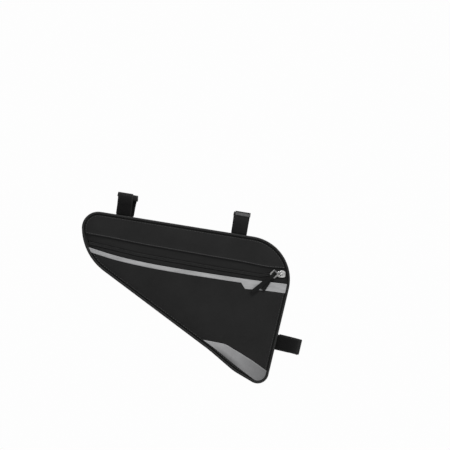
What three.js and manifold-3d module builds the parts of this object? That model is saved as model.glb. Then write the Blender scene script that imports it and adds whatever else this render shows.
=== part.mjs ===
// Triangular zip bag that hangs from three strap loops.
// Millimetres. X runs along the top edge towards the rear, -Y faces the zip side and Z is up.
// The origin lies on the axis of the two upper loops, midway between them.

import * as THREE from "three";
import { mergeVertices } from "three/addons/utils/BufferGeometryUtils.js";
import Module from "manifold-3d";

const wasm = await Module();
wasm.setup();

// Clearance between pieces that lie against each other
const gap = 0.3;

// Clearance between the panels and the gusset, which leaves a flat way between the pipings
const gussetSeamGap = 0.5;

// Bag body
const bagLength = 281;
const bagHeight = 189.3;
const bagWidth = 50;
const pipingRadius = 2;
const gussetThickness = 1.5;
const panelThickness = 1.4;
const facePuff = 4.5;
const puffReach = 11;

// Strap loops
const upperLoopRadius = 14.3;
const rearLoopRadius = 15.9;
const strapWidth = 20;
const strapThickness = 1.2;
const strapSpacing = 153.2;
const strapCornerRadius = 5;

// Zip
const tapeThickness = 1;
const chainWidth = 4.6;
const chainThickness = 2.2;
const chainToTape = 0.5;
const tapeTuck = 4;
const sliderLength = 11.2;
const sliderWidth = 9;
const sliderBackOff = 0.6;
const wingThickness = 1.2;
const wingNose = 0.72;
const wingWaist = 0.1;
const wingCornerRadius = 3;
const wingNoseRadius = 1;
const postWidth = 1.4;
const postLength = 2.4;

// Slider bridge and pull tab
const barRadius = 0.6;
const barHeight = 1.5;
const barSetBack = 1;
const barClearance = 0.4;
const bridgeThickness = 1.4;
const bridgeWidth = 2.2;
const tabThickness = 1.1;
const tabArmWidth = 1.2;
const eyeSide = 9.4;
const eyeRim = 2;
const eyeReach = 9;
const eyeCornerRadius = 2;
const holeCornerRadius = 0.8;

// Pull strap, a narrow tape folded through the eye of the tab
const pullWidth = 6;
const pullThickness = 0.9;
const foldClearance = 0.25;
const settleStart = 0.1;
const settleEnd = 0.5;
const pullShortTail = 23;
const pullLongTail = 35;
const pullShortHeading = -115;
const pullLongHeading = -132;

// Trim on the lower panel
const trimThickness = 0.6;
const stripeWidth = 5.5;

// Places along and down the bag, as shares of its length and height
const originAlong = 0.454;
const rearLoopDown = 0.695;
const stripeStepStart = 0.775;
const stripeStepEnd = 0.797;

// Outline over the piping, clockwise as seen from the zip side.
// along and down are shares of the bag's length and height, and radius is a share of its height.
// splits are the shares at which the straight edge behind the corner is divided.
const outlineCorners = [
  { corner: "front top", along: -0.015, down: 0, radius: 0.115, splits: [0.1, 0.22, 0.75, 0.9] },
  { corner: "rear top", along: 1.015, down: 0, radius: 0.299, splits: [0.05, 0.47, 0.8] },
  { corner: "tip", along: 0.964, down: 1.033, radius: 0.077, splits: [] },
  { corner: "foot", along: 0.804, down: 0.94, radius: 0.37, splits: [0.5] },
  { corner: "waist", along: 0.678, down: 0.825, radius: 0.475, splits: [0.2, 0.4, 0.6, 0.8] },
  { corner: "nose", along: 0.023, down: 0.315, radius: 0.386, splits: [] },
];

// Lines across the zip side, from front to rear, in the same shares
const seamStations = [
  { along: 0.02, down: 0.165 },
  { along: 0.134, down: 0.169 },
  { along: 0.312, down: 0.179 },
  { along: 0.753, down: 0.188 },
  { along: 0.888, down: 0.195 },
  { along: 0.941, down: 0.188 },
];
const chainStations = [
  { along: 0.045, down: 0.225 },
  { along: 0.194, down: 0.24 },
  { along: 0.29, down: 0.25 },
  { along: 0.856, down: 0.258 },
  { along: 0.895, down: 0.244 },
  { along: 0.927, down: 0.233 },
  { along: 0.977, down: 0.221 },
];
const stripeTopStations = [
  { along: 0.041, down: 0.254 },
  { along: 0.172, down: 0.282 },
  { along: 0.286, down: 0.295 },
  { along: 0.401, down: 0.301 },
  { along: 0.571, down: 0.302 },
  { along: 0.813, down: 0.298 },
  { along: 0.966, down: 0.289 },
];
const stripeTabStations = [
  { along: 0.799, down: 0.366 },
  { along: 0.895, down: 0.356 },
  { along: 0.973, down: 0.353 },
];
const patchTopStations = [
  { along: 0.642, down: 0.761 },
  { along: 0.725, down: 0.764 },
  { along: 0.753, down: 0.769 },
  { along: 0.784, down: 0.787 },
  { along: 0.875, down: 0.842 },
  { along: 0.952, down: 0.898 },
];
const patchLowStations = [
  { along: 0.642, down: 0.762 },
  { along: 0.701, down: 0.807 },
  { along: 0.795, down: 0.888 },
  { along: 0.888, down: 0.963 },
];

// Places that follow from the sizes above
const frontEnd = -originAlong * bagLength;
const rearEnd = frontEnd + bagLength;
const strapStack = gap + strapThickness + gap;
const gussetTop = -(upperLoopRadius + strapStack);
const gussetHalfWidth = bagWidth / 2 - panelThickness - gussetSeamGap;
const gussetInset = pipingRadius + gussetToPiping();
const topEdge = gussetTop + gussetInset;
const rimInset = 2 * pipingRadius + gap;
const tapeInset = gussetInset + gussetThickness + gap;
const tapeMiddle = -(panelThickness + gap + tapeThickness / 2);
const sliderInside = chainThickness / 2 + gap;
const sliderTop = sliderInside + wingThickness;
const barCentre = sliderTop + barHeight;
const foldWidth = eyeSide - 2 * eyeRim - 2 * gap;

// Depth of the gusset's edge behind the middle of the piping, so that the two just clear each other
function gussetToPiping() {
  const reach = pipingRadius + gap;
  const across = bagWidth / 2 - gussetHalfWidth;
  return Math.sqrt(Math.max(0, reach * reach - across * across));
}

const placeAlong = (share) => frontEnd + share * bagLength;
const placeDown = (share) => topEdge - share * bagHeight;

// Plane geometry

// Rounds the corners of a closed polygon and gives its points with their outward normals
function roundCorners(corners, arcStep = 11) {
  const count = corners.length;
  const points = corners.map((corner) => new THREE.Vector2(corner.x, corner.y));
  const winding = THREE.ShapeUtils.isClockWise(points) ? -1 : 1;
  const bends = points.map((point, i) => {
    const back = points[(i + count - 1) % count].clone().sub(point).normalize();
    const on = points[(i + 1) % count].clone().sub(point).normalize();
    const halfAngle = Math.acos(THREE.MathUtils.clamp(back.dot(on), -1, 1)) / 2;
    return { point, back, on, halfAngle, reach: corners[i].radius / Math.tan(halfAngle) };
  });
  const edgeShare = bends.map((bend, i) => {
    const next = bends[(i + 1) % count];
    return Math.min(1, bend.point.distanceTo(next.point) / (bend.reach + next.reach));
  });
  const stations = [];
  bends.forEach((bend, i) => {
    const reach = bend.reach * Math.min(edgeShare[i], edgeShare[(i + count - 1) % count]);
    const radius = reach * Math.tan(bend.halfAngle);
    const middle = bend.back.clone().add(bend.on).normalize();
    const centre = bend.point.clone().addScaledVector(middle, radius / Math.sin(bend.halfAngle));
    const start = bend.point.clone().addScaledVector(bend.back, reach).sub(centre).angle();
    const end = bend.point.clone().addScaledVector(bend.on, reach).sub(centre).angle();
    const sweep = THREE.MathUtils.euclideanModulo(end - start + Math.PI, 2 * Math.PI) - Math.PI;
    const steps = Math.max(1, Math.round(THREE.MathUtils.radToDeg(Math.abs(sweep)) / arcStep));
    for (let step = 0; step <= steps; step++) {
      const angle = start + (sweep * step) / steps;
      const ray = new THREE.Vector2(Math.cos(angle), Math.sin(angle));
      const point = centre.clone().addScaledVector(ray, radius);
      stations.push({ point, normal: ray.multiplyScalar(Math.sign(sweep) * winding), corner: i });
    }
  });
  return divideEdges(stations, corners).filter((station, i, all) => {
    return station.point.distanceTo(all[(i + 1) % all.length].point) > 1e-4;
  });
}

// Adds the points that divide the straight edges between the rounded corners
function divideEdges(stations, corners) {
  return stations.flatMap((station, i) => {
    const next = stations[(i + 1) % stations.length];
    const splits = corners[station.corner].splits ?? [];
    if (next.corner === station.corner || splits.length === 0) {
      return [station];
    }
    const added = splits.map((share) => ({
      point: station.point.clone().lerp(next.point, share),
      normal: station.normal,
    }));
    return [station, ...added];
  });
}

const outline = roundCorners(
  outlineCorners.map((corner) => ({
    x: placeAlong(corner.along),
    y: placeDown(corner.down),
    radius: corner.radius * bagHeight,
    splits: corner.splits,
  })),
);

const inset = (station, distance) => station.point.clone().addScaledVector(station.normal, -distance);

// Distance of a place from the outline, positive inside the bag
function depthInside(x, z) {
  const place = new THREE.Vector2(x, z);
  let nearest = Infinity;
  let side = 1;
  outline.forEach((station, i) => {
    const start = station.point;
    const edge = outline[(i + 1) % outline.length].point.clone().sub(start);
    const offset = place.clone().sub(start);
    const share = THREE.MathUtils.clamp(offset.dot(edge) / edge.lengthSq(), 0, 1);
    const away = offset.addScaledVector(edge, -share);
    if (away.length() < nearest) {
      nearest = away.length();
      side = away.dot(station.normal) > 0 ? -1 : 1;
    }
  });
  return side * nearest;
}

// Height of a face over its flat rim: it swells quickly behind the piping and then levels out
function bulge(x, z) {
  const fromRim = Math.max(0, depthInside(x, z) - rimInset);
  return facePuff * (1 - Math.exp(-fromRim / puffReach));
}

// A smooth line across the zip side through its stations, as height over X
function faceLine(stations) {
  const xs = stations.map((station) => placeAlong(station.along));
  const zs = stations.map((station) => placeDown(station.down));
  const last = xs.length - 1;
  const slopeAt = (i) => {
    const before = Math.max(0, i - 1);
    const after = Math.min(last, i + 1);
    return (zs[after] - zs[before]) / (xs[after] - xs[before]);
  };
  return (x) => {
    if (x <= xs[0]) {
      return zs[0] + slopeAt(0) * (x - xs[0]);
    }
    if (x >= xs[last]) {
      return zs[last] + slopeAt(last) * (x - xs[last]);
    }
    const i = xs.findIndex((start, k) => x >= start && x < xs[k + 1]);
    const span = xs[i + 1] - xs[i];
    const t = (x - xs[i]) / span;
    const rise = zs[i + 1] - zs[i];
    const curl = (1 - t) * (slopeAt(i) * span - rise) + t * (rise - slopeAt(i + 1) * span);
    return zs[i] + t * rise + t * (1 - t) * curl;
  };
}

const seamLine = faceLine(seamStations);
const chainLine = faceLine(chainStations);
const stripeTopLine = faceLine(stripeTopStations);
const stripeTabLine = faceLine(stripeTabStations);
const patchTopLine = faceLine(patchTopStations);
const patchLowLine = faceLine(patchLowStations);

// X at which a line crosses a given depth inside the outline, on its way to the front or rear end
function lineEnd(line, depth, outerX) {
  let inside = 0;
  let outside = outerX;
  for (let step = 0; step < 40; step++) {
    const middle = (inside + outside) / 2;
    if (depthInside(middle, line(middle)) > depth) {
      inside = middle;
    } else {
      outside = middle;
    }
  }
  return inside;
}

// Right-handed frame on the zip side: u along a line, v up across it, w out of the face
function faceFrame(x, line, offset) {
  const step = 0.5;
  const z = line(x);
  const place = (px, pz) => new THREE.Vector3(px, -(bagWidth / 2 + bulge(px, pz) + offset), pz);
  const alongX = place(x + step, z).sub(place(x - step, z));
  const alongZ = place(x, z + step).sub(place(x, z - step));
  const w = alongX.clone().cross(alongZ).normalize();
  const run = place(x + step, line(x + step)).sub(place(x - step, line(x - step)));
  const u = run.addScaledVector(w, -run.dot(w)).normalize();
  const v = w.clone().cross(u);
  return new THREE.Matrix4().makeBasis(u, v, w).setPosition(place(x, z));
}

// Solids

// One closed body from loose triangles, with its faces turned outwards
function closedGeometry(positions) {
  const loose = new THREE.BufferGeometry();
  loose.setAttribute("position", new THREE.Float32BufferAttribute(positions, 3));
  const merged = mergeVertices(loose, 1e-4);
  const corner = (i) => new THREE.Vector3().fromBufferAttribute(merged.attributes.position, i);
  const triangles = [];
  let volume = 0;
  for (let i = 0; i < merged.index.count; i += 3) {
    const [a, b, c] = [0, 1, 2].map((k) => merged.index.getX(i + k));
    if (a !== b && b !== c && c !== a) {
      triangles.push([a, b, c]);
      volume += corner(a).dot(corner(b).cross(corner(c)));
    }
  }
  merged.setIndex(triangles.flatMap(([a, b, c]) => (volume < 0 ? [a, c, b] : [a, b, c])));
  return merged;
}

// Skin through rings of equal counts, closed by end caps or, as a loop, back onto its first ring
function loft(rings, loop = false) {
  const positions = [];
  const triangle = (...corners) => corners.forEach((corner) => positions.push(...corner.toArray()));
  const count = rings[0].length;
  const spans = loop ? rings.length : rings.length - 1;
  for (let i = 0; i < spans; i++) {
    const here = rings[i];
    const next = rings[(i + 1) % rings.length];
    for (let j = 0; j < count; j++) {
      const k = (j + 1) % count;
      triangle(here[j], here[k], next[k]);
      triangle(here[j], next[k], next[j]);
    }
  }
  if (!loop) {
    const first = rings[0];
    const last = rings[rings.length - 1];
    for (let j = 1; j < count - 1; j++) {
      triangle(first[0], first[j + 1], first[j]);
      triangle(last[0], last[j], last[j + 1]);
    }
  }
  return closedGeometry(positions);
}

function solidFrom(geometry) {
  const bare = geometry.clone();
  bare.deleteAttribute("normal");
  bare.deleteAttribute("uv");
  const merged = mergeVertices(bare, 1e-4);
  const vertProperties = new Float32Array(merged.attributes.position.array);
  const triVerts = new Uint32Array(merged.index.array);
  return new wasm.Manifold(new wasm.Mesh({ numProp: 3, vertProperties, triVerts }));
}

function geometryFrom(solid) {
  const result = solid.getMesh();
  const geometry = new THREE.BufferGeometry();
  geometry.setAttribute("position", new THREE.BufferAttribute(result.vertProperties, 3));
  geometry.setIndex(new THREE.BufferAttribute(result.triVerts, 1));
  return geometry;
}

// Flat plate of the given outline, centred on the plane at height middle
function plate(points, thickness, middle = 0) {
  const shape = new THREE.Shape(points);
  const geometry = new THREE.ExtrudeGeometry(shape, { depth: thickness, bevelEnabled: false });
  return geometry.translate(0, 0, middle - thickness / 2);
}

function roundedRectangle(x0, x1, y0, y1, radius, arcStep = 30) {
  const corners = [
    { x: x0, y: y0, radius },
    { x: x1, y: y0, radius },
    { x: x1, y: y1, radius },
    { x: x0, y: y1, radius },
  ];
  return roundCorners(corners, arcStep).map((station) => station.point);
}

// Faces of the bag

// Centre of the rings of a face, as shares of the bag's length and height, and their shares of its rim
const faceCentre = { along: 0.67, down: 0.33 };
const faceRings = [1, 0.965, 0.9, 0.79, 0.6, 0.32, 0];

// A curved sheet of the whole face between two offsets from its surface; side is -1 or 1
function faceSheet(outer, inner, side = -1, edgeInset = rimInset) {
  const centre = new THREE.Vector2(placeAlong(faceCentre.along), placeDown(faceCentre.down));
  const rim = outline.map((station) => inset(station, edgeInset));
  const ring = (share, offset) =>
    rim.map((edge) => {
      const place = centre.clone().lerp(edge, share);
      const reach = bagWidth / 2 + bulge(place.x, place.y) + offset;
      return new THREE.Vector3(place.x, side * reach, place.y);
    });
  const outside = faceRings.map((share) => ring(share, outer)).reverse();
  const inside = faceRings.map((share) => ring(share, inner));
  return loft([...outside, ...inside]);
}

// The part of a sheet that lies between two lines across the zip side.
// steps are places along X where a line has a sharp corner.
function cutBand(sheet, upperLine, lowerLine, steps = []) {
  const overrun = 10;
  const spans = 36;
  const even = Array.from({ length: spans + 1 }, (_, i) =>
    THREE.MathUtils.lerp(frontEnd - overrun, rearEnd + overrun, i / spans),
  );
  const xs = [...even, ...steps].sort((a, b) => a - b);
  const upper = xs.map((x) => new THREE.Vector2(x, upperLine(x)));
  const lower = xs.map((x) => new THREE.Vector2(x, lowerLine(x)));
  const cutter = plate([...upper, ...lower.reverse()], bagWidth, bagWidth / 2).rotateX(Math.PI / 2);
  return geometryFrom(solidFrom(sheet).intersect(solidFrom(cutter)));
}

const aboveBag = () => topEdge + bagWidth;
const belowBag = () => topEdge - bagHeight - bagWidth;
const shifted = (line, rise) => (x) => line(x) + rise;

function frontPanelUpper() {
  return cutBand(faceSheet(0, -panelThickness), aboveBag, seamLine);
}

function frontPanelLower() {
  return cutBand(faceSheet(0, -panelThickness), stripeTopLine, belowBag);
}

function backPanel() {
  return faceSheet(0, -panelThickness, 1);
}

const tapeParting = chainWidth / 2 + chainToTape;

// The tapes lie behind the panels and end against the inside of the gusset
function tapeSheet() {
  return faceSheet(tapeMiddle + tapeThickness / 2, tapeMiddle - tapeThickness / 2, -1, tapeInset);
}

function zipTapeUpper() {
  return cutBand(tapeSheet(), shifted(seamLine, tapeTuck), shifted(chainLine, tapeParting));
}

function zipTapeLower() {
  return cutBand(tapeSheet(), shifted(chainLine, -tapeParting), shifted(stripeTopLine, -tapeTuck));
}

const trimSheet = () => faceSheet(gap + trimThickness, gap);

// The stripe keeps one width up to a step near its rear end, where it widens into a tab
function reflectiveStripe() {
  const stepStart = placeAlong(stripeStepStart);
  const stepEnd = placeAlong(stripeStepEnd);
  const lowerLine = (x) => {
    const step = THREE.MathUtils.clamp((x - stepStart) / (stepEnd - stepStart), 0, 1);
    return THREE.MathUtils.lerp(stripeTopLine(x) - stripeWidth, stripeTabLine(x), step);
  };
  return cutBand(trimSheet(), stripeTopLine, lowerLine, [stepStart, stepEnd]);
}

// The patch fills the lower rear corner; in front its two edges meet in a point
function cornerPatch() {
  const tip = placeAlong(patchTopStations[0].along);
  const lowerLine = (x) => Math.min(patchLowLine(x), patchTopLine(x) - (x > tip ? 0 : gap));
  return cutBand(trimSheet(), patchTopLine, lowerLine, [tip]);
}

// Gusset and piping

function gusset() {
  const section = [
    [gussetInset, -gussetHalfWidth],
    [gussetInset, gussetHalfWidth],
    [gussetInset + gussetThickness, gussetHalfWidth],
    [gussetInset + gussetThickness, -gussetHalfWidth],
  ];
  return outlineSweep(section);
}

function piping(side) {
  const sides = 8;
  const section = Array.from({ length: sides }, (_, i) => {
    const angle = ((i + 0.5) / sides) * 2 * Math.PI;
    const depth = pipingRadius * (1 - Math.cos(angle));
    return [depth, (side * bagWidth) / 2 + pipingRadius * Math.sin(angle)];
  });
  return outlineSweep(section);
}

// Sweeps a section of depths inside the outline and places across the bag right round the bag
function outlineSweep(section) {
  const rings = outline.map((station) =>
    section.map(([depth, y]) => {
      const place = inset(station, depth);
      return new THREE.Vector3(place.x, y, place.y);
    }),
  );
  return loft(rings, true);
}

// Strap loops

// Middle surface of a strap round a loop: round on top, flat below where it lies on the bag.
// It is drawn across the loop's axis, from its top, as places across (Y) and outwards (Z).
function loopStations(loopRadius) {
  const reach = loopRadius + gap + strapThickness / 2;
  return roundCorners([
    { x: reach, y: reach, radius: reach },
    { x: reach, y: -reach, radius: strapCornerRadius },
    { x: -reach, y: -reach, radius: strapCornerRadius },
    { x: -reach, y: reach, radius: reach },
  ]);
}

// A strap goes once round the loop and laps over its own start.
// hand is 1 if it goes over the top towards +Y, and drift is its sideways run in one turn.
// It starts lead before the top and ends tail behind it, both as shares of the turn;
// a strap with a lead below 0 starts behind the top.
function strap({ loopRadius, drift, hand, lead, tail }) {
  const stations = loopStations(loopRadius);
  const count = stations.length;
  const nearTurn = hand > 0 ? 0.75 : 0.25;
  const first = -Math.round(lead * count);
  const last = count + Math.round(tail * count);
  const ramp = 3;
  const rings = [];
  for (let i = first; i <= last; i++) {
    const station = stations[(i + 2 * count) % count];
    const turn = i / count;
    const lift = THREE.MathUtils.smoothstep(i, first + count - ramp, first + count - 1);
    const middle = lift * (strapThickness + gap);
    const side = (x, outward) => {
      const place = station.point.clone().addScaledVector(station.normal, middle + outward);
      return new THREE.Vector3(drift * (turn - nearTurn) + x, hand * place.x, place.y);
    };
    rings.push([
      side(-strapWidth / 2, -strapThickness / 2),
      side(strapWidth / 2, -strapThickness / 2),
      side(strapWidth / 2, strapThickness / 2),
      side(-strapWidth / 2, strapThickness / 2),
    ]);
  }
  return loft(rings);
}

// Zip chain, slider and pull

const zipRear = lineEnd(chainLine, tapeInset, rearEnd);
const sliderX = zipRear - sliderBackOff - sliderLength / 2;
const sliderFrame = faceFrame(sliderX, chainLine, tapeMiddle);
const postFront = sliderLength / 2 - 1 - postLength;

// The chain ends just inside the gusset; behind the slider's post its two halves stand parted
function zipChain() {
  const front = lineEnd(chainLine, tapeInset + chainWidth / 2, frontEnd);
  const mouth = sliderX - sliderLength / 2 - 2;
  const steps = 30;
  const frames = Array.from({ length: steps + 1 }, (_, i) =>
    faceFrame(THREE.MathUtils.lerp(front, mouth, i / steps), chainLine, tapeMiddle),
  );
  const slide = (u) => sliderFrame.clone().multiply(new THREE.Matrix4().makeTranslation(u, 0, 0));
  const end = sliderLength / 2 + sliderBackOff - gap;
  frames.push(slide(-sliderLength / 2 - gap), slide(end));
  const half = chainWidth / 2;
  const flat = 0.6 * half;
  const high = chainThickness / 2;
  const section = [
    [-half, 0],
    [-flat, high],
    [flat, high],
    [half, 0],
    [flat, -high],
    [-flat, -high],
  ];
  const rings = frames.map((frame) =>
    section.map(([v, w]) => new THREE.Vector3(0, v, w).applyMatrix4(frame)),
  );
  const slotLength = 2 * (end - postFront + 2 * gap);
  const slot = new THREE.BoxGeometry(slotLength, postWidth + 2 * gap, 2 * chainThickness);
  slot.applyMatrix4(slide(end + gap));
  return geometryFrom(solidFrom(loft(rings)).subtract(solidFrom(slot)));
}

// Slider: two wings joined by a post, with a bridge on the outer wing; drawn in the slider's frame
function zipSlider() {
  const half = sliderLength / 2;
  const wide = sliderWidth / 2;
  const wingCorners = [
    { x: -half, y: -wingNose * wide, radius: wingNoseRadius },
    { x: -wingWaist * half, y: -wide, radius: wingCornerRadius },
    { x: half, y: -wide, radius: wingCornerRadius },
    { x: half, y: wide, radius: wingCornerRadius },
    { x: -wingWaist * half, y: wide, radius: wingCornerRadius },
    { x: -half, y: wingNose * wide, radius: wingNoseRadius },
  ];
  const wing = roundCorners(wingCorners, 20).map((station) => station.point);
  const wingMiddle = sliderInside + wingThickness / 2;
  const postOutline = roundedRectangle(
    postFront,
    postFront + postLength,
    -postWidth / 2,
    postWidth / 2,
    0.4,
  );
  const postHeight = 2 * sliderInside + wingThickness;
  return geometryFrom(
    solidFrom(plate(wing, wingThickness, wingMiddle))
      .add(solidFrom(plate(wing, wingThickness, -wingMiddle)))
      .add(solidFrom(plate(postOutline, postHeight)))
      .add(solidFrom(sliderBridge())),
  );
}

// Arch over the bar, its feet sunk into the outer wing
function sliderBridge() {
  const inner = barRadius + barClearance;
  const outer = inner + bridgeThickness;
  const foot = sliderTop - wingThickness / 2;
  const arch = new THREE.Shape();
  arch.moveTo(-outer, foot);
  arch.absarc(0, barCentre, outer, Math.PI, 0, true);
  arch.lineTo(outer, foot);
  arch.lineTo(inner, foot);
  arch.absarc(0, barCentre, inner, 0, Math.PI, false);
  arch.lineTo(-inner, foot);
  const shaping = { depth: bridgeWidth, bevelEnabled: false, curveSegments: 10 };
  const geometry = new THREE.ExtrudeGeometry(arch, shaping);
  return geometry.rotateX(Math.PI / 2).translate(-barSetBack, bridgeWidth / 2, 0);
}

// Tab: a bar under the bridge, two arms beside it and a square eye; drawn about the bar's centre
function pullTab() {
  const windowHalf = bridgeWidth / 2 + barClearance;
  const armOuter = windowHalf + tabArmWidth;
  const windowEnd = barRadius + barClearance + bridgeThickness + 2 * barClearance;
  const turned = Math.PI / 4;
  const square = (side, radius) => {
    const points = roundedRectangle(-side / 2, side / 2, -side / 2, side / 2, radius);
    const middle = new THREE.Vector2();
    return points.map((point) => point.rotateAround(middle, turned).add(new THREE.Vector2(-eyeReach, 0)));
  };
  const arms = roundedRectangle(-eyeReach + eyeSide / 2 - eyeRim / 2, 0, -armOuter, armOuter, 0.2);
  const window = roundedRectangle(-windowEnd, 2 * barRadius, -windowHalf, windowHalf, 0.3);
  const hole = square(eyeSide - 2 * eyeRim, holeCornerRadius);
  const bar = new THREE.CylinderGeometry(barRadius, barRadius, 2 * armOuter, 12);
  return geometryFrom(
    solidFrom(plate(arms, tabThickness))
      .add(solidFrom(plate(square(eyeSide, eyeCornerRadius), tabThickness)))
      .subtract(solidFrom(plate(window, 2 * tabThickness)))
      .subtract(solidFrom(plate(hole, 2 * tabThickness)))
      .add(solidFrom(bar)),
  );
}

// Pull strap: both tails lie on the face, one over the other, and meet in a fold round the eye's rim.
// In the fold it is drawn in to the width of the eye.
function pullStrap() {
  const reach = tabThickness / 2 + gap + pullThickness / 2;
  const heading = new THREE.Vector3(-1, -1, 0).normalize();
  const across = new THREE.Vector3(1, -1, 0).normalize();
  const foldSteps = 8;
  const foldAt = eyeSide / 2 - eyeRim + foldClearance;
  const eye = new THREE.Vector3(-barSetBack - eyeReach, 0, barCentre).addScaledVector(heading, foldAt);
  const fold = Array.from({ length: foldSteps + 1 }, (_, i) => {
    const angle = (Math.PI * i) / foldSteps;
    const normal = heading.clone().multiplyScalar(-Math.sin(angle));
    normal.z -= Math.cos(angle);
    const place = eye.clone().addScaledVector(normal, reach);
    return {
      place: place.applyMatrix4(sliderFrame),
      across: across.clone().transformDirection(sliderFrame),
      normal: normal.transformDirection(sliderFrame),
      width: foldWidth,
    };
  });
  const lowRest = gap + trimThickness + gap + pullThickness / 2;
  const highRest = lowRest + gap + pullThickness;
  const short = pullTail(fold[0], pullShortTail, pullShortHeading, lowRest, -1).reverse();
  const long = pullTail(fold[foldSteps], pullLongTail, pullLongHeading, highRest, 1);
  const rings = [...short, ...fold, ...long].map((station) => {
    const corner = (a, n) =>
      station.place
        .clone()
        .addScaledVector(station.across, (a * station.width) / 2)
        .addScaledVector(station.normal, (n * pullThickness) / 2);
    return [corner(-1, -1), corner(1, -1), corner(1, 1), corner(-1, 1)];
  });
  return loft(rings);
}

// Stations of one tail from the fold outwards, settling from the fold's height to its rest height.
// facing is 1 where the strip's normal points out of the face, and -1 where it points into it.
function pullTail(root, length, headingDegrees, rest, facing) {
  const angle = THREE.MathUtils.degToRad(headingDegrees);
  const heading = new THREE.Vector3(Math.cos(angle), 0, Math.sin(angle));
  const rootHeight = -root.place.y - bagWidth / 2 - bulge(root.place.x, root.place.z);
  const steps = 8;
  return Array.from({ length: steps }, (_, i) => {
    const share = (i + 1) / steps;
    const settle = THREE.MathUtils.smoothstep(share, settleStart, settleEnd);
    const place = root.place.clone().addScaledVector(heading, share * length);
    const height = THREE.MathUtils.lerp(rootHeight, rest, settle);
    place.y = -(bagWidth / 2 + bulge(place.x, place.z) + height);
    const normal = new THREE.Vector3(0, -facing, 0);
    const across = normal.clone().cross(heading).multiplyScalar(facing);
    across.lerp(root.across, 1 - settle).normalize();
    return { place, across, normal, width: THREE.MathUtils.lerp(foldWidth, pullWidth, settle) };
  });
}

// Materials

function material(color, roughness, metalness = 0) {
  return new THREE.MeshStandardMaterial({ color, roughness, metalness });
}

const wovenCloth = material(0x262626, 0.9);
const pipingTape = material(0x1b1b1b, 0.8);
const zipTape = material(0x1f1f1f, 0.85);
const chainNylon = material(0x151515, 0.5);
const reflectiveGrey = material(0xa8a8a8, 0.45);
const patchGrey = material(0x858585, 0.5);
const hookAndLoop = material(0x141414, 0.95);
const pullTape = material(0x181818, 0.85);
const nickel = material(0xc8c8c8, 0.25, 1);

// Assembly

const bag = new THREE.Group();

function addPiece(name, geometry, finish, parent = bag) {
  const mesh = new THREE.Mesh(geometry, finish);
  mesh.name = name;
  parent.add(mesh);
  return mesh;
}

addPiece("gusset", gusset(), wovenCloth);
addPiece("front_panel_upper", frontPanelUpper(), wovenCloth);
addPiece("front_panel_lower", frontPanelLower(), wovenCloth);
addPiece("back_panel", backPanel(), wovenCloth);
addPiece("piping_front", piping(-1), pipingTape);
addPiece("piping_back", piping(1), pipingTape);
addPiece("zip_tape_upper", zipTapeUpper(), zipTape);
addPiece("zip_tape_lower", zipTapeLower(), zipTape);
addPiece("zip_chain", zipChain(), chainNylon);
addPiece("reflective_stripe", reflectiveStripe(), reflectiveGrey);
addPiece("corner_patch", cornerPatch(), patchGrey);

// The front strap laps over the top towards the far side and the rear one back towards the zip side.
// The low strap laps on the far side.
const frontStrap = { loopRadius: upperLoopRadius, drift: -6.7, hand: 1, lead: 0.14, tail: 0.12 };
const rearStrap = { loopRadius: upperLoopRadius, drift: 2, hand: -1, lead: 0.12, tail: 0.12 };
const lowStrap = { loopRadius: rearLoopRadius, drift: -1, hand: 1, lead: -0.04, tail: 0.26 };
addPiece("top_strap_front", strap(frontStrap), hookAndLoop).position.x = -strapSpacing / 2;
addPiece("top_strap_rear", strap(rearStrap), hookAndLoop).position.x = strapSpacing / 2;

// The low strap stands off the straight rear edge, its loop's axis parallel to that edge
const rearEdge = outline.find((station) => station.normal.x > 0 && station.point.y < placeDown(0.5));
const rearGusset = inset(rearEdge, gussetInset);
const rearLoop = new THREE.Group();
const rearRise = (placeDown(rearLoopDown) - rearGusset.y) / rearEdge.normal.x;
const loopCentre = rearGusset
  .clone()
  .add(new THREE.Vector2(-rearEdge.normal.y, rearEdge.normal.x).multiplyScalar(rearRise))
  .addScaledVector(rearEdge.normal, rearLoopRadius + strapStack);
rearLoop.position.set(loopCentre.x, 0, loopCentre.y);
rearLoop.rotation.y = Math.PI / 2 - rearEdge.normal.angle();
bag.add(rearLoop);
addPiece("seat_strap", strap(lowStrap), hookAndLoop, rearLoop);

const slider = new THREE.Group();
slider.applyMatrix4(sliderFrame);
bag.add(slider);
addPiece("zip_slider", zipSlider(), nickel, slider);
addPiece("pull_tab", pullTab(), nickel, slider).position.set(-barSetBack, 0, barCentre);
addPiece("pull_strap", pullStrap(), pullTape);

export default bag;
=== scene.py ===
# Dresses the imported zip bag: camera, studio, cloth, piping, zip, straps and metal parts.
# The frame's axes hold: +X to the rear, -Y the zip side, +Z up.
# Sizes are millimetres, and meshes are turned to metres when they are made.

import math

import bpy
import numpy as np
from mathutils import Matrix, Vector, noise
from mathutils.geometry import delaunay_2d_cdt


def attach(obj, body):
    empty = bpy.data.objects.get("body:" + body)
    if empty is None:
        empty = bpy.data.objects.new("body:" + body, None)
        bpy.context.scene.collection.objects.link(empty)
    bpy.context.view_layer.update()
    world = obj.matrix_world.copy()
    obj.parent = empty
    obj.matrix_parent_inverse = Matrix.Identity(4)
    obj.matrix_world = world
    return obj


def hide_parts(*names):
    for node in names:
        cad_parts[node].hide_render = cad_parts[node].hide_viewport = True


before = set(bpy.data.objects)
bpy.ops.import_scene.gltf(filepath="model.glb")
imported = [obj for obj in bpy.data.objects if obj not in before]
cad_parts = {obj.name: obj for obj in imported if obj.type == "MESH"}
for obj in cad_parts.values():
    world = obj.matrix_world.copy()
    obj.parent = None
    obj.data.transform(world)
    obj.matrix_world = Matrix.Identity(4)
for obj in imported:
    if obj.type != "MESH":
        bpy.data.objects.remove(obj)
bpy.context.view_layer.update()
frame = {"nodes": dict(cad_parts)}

METRES = 0.001

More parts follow.
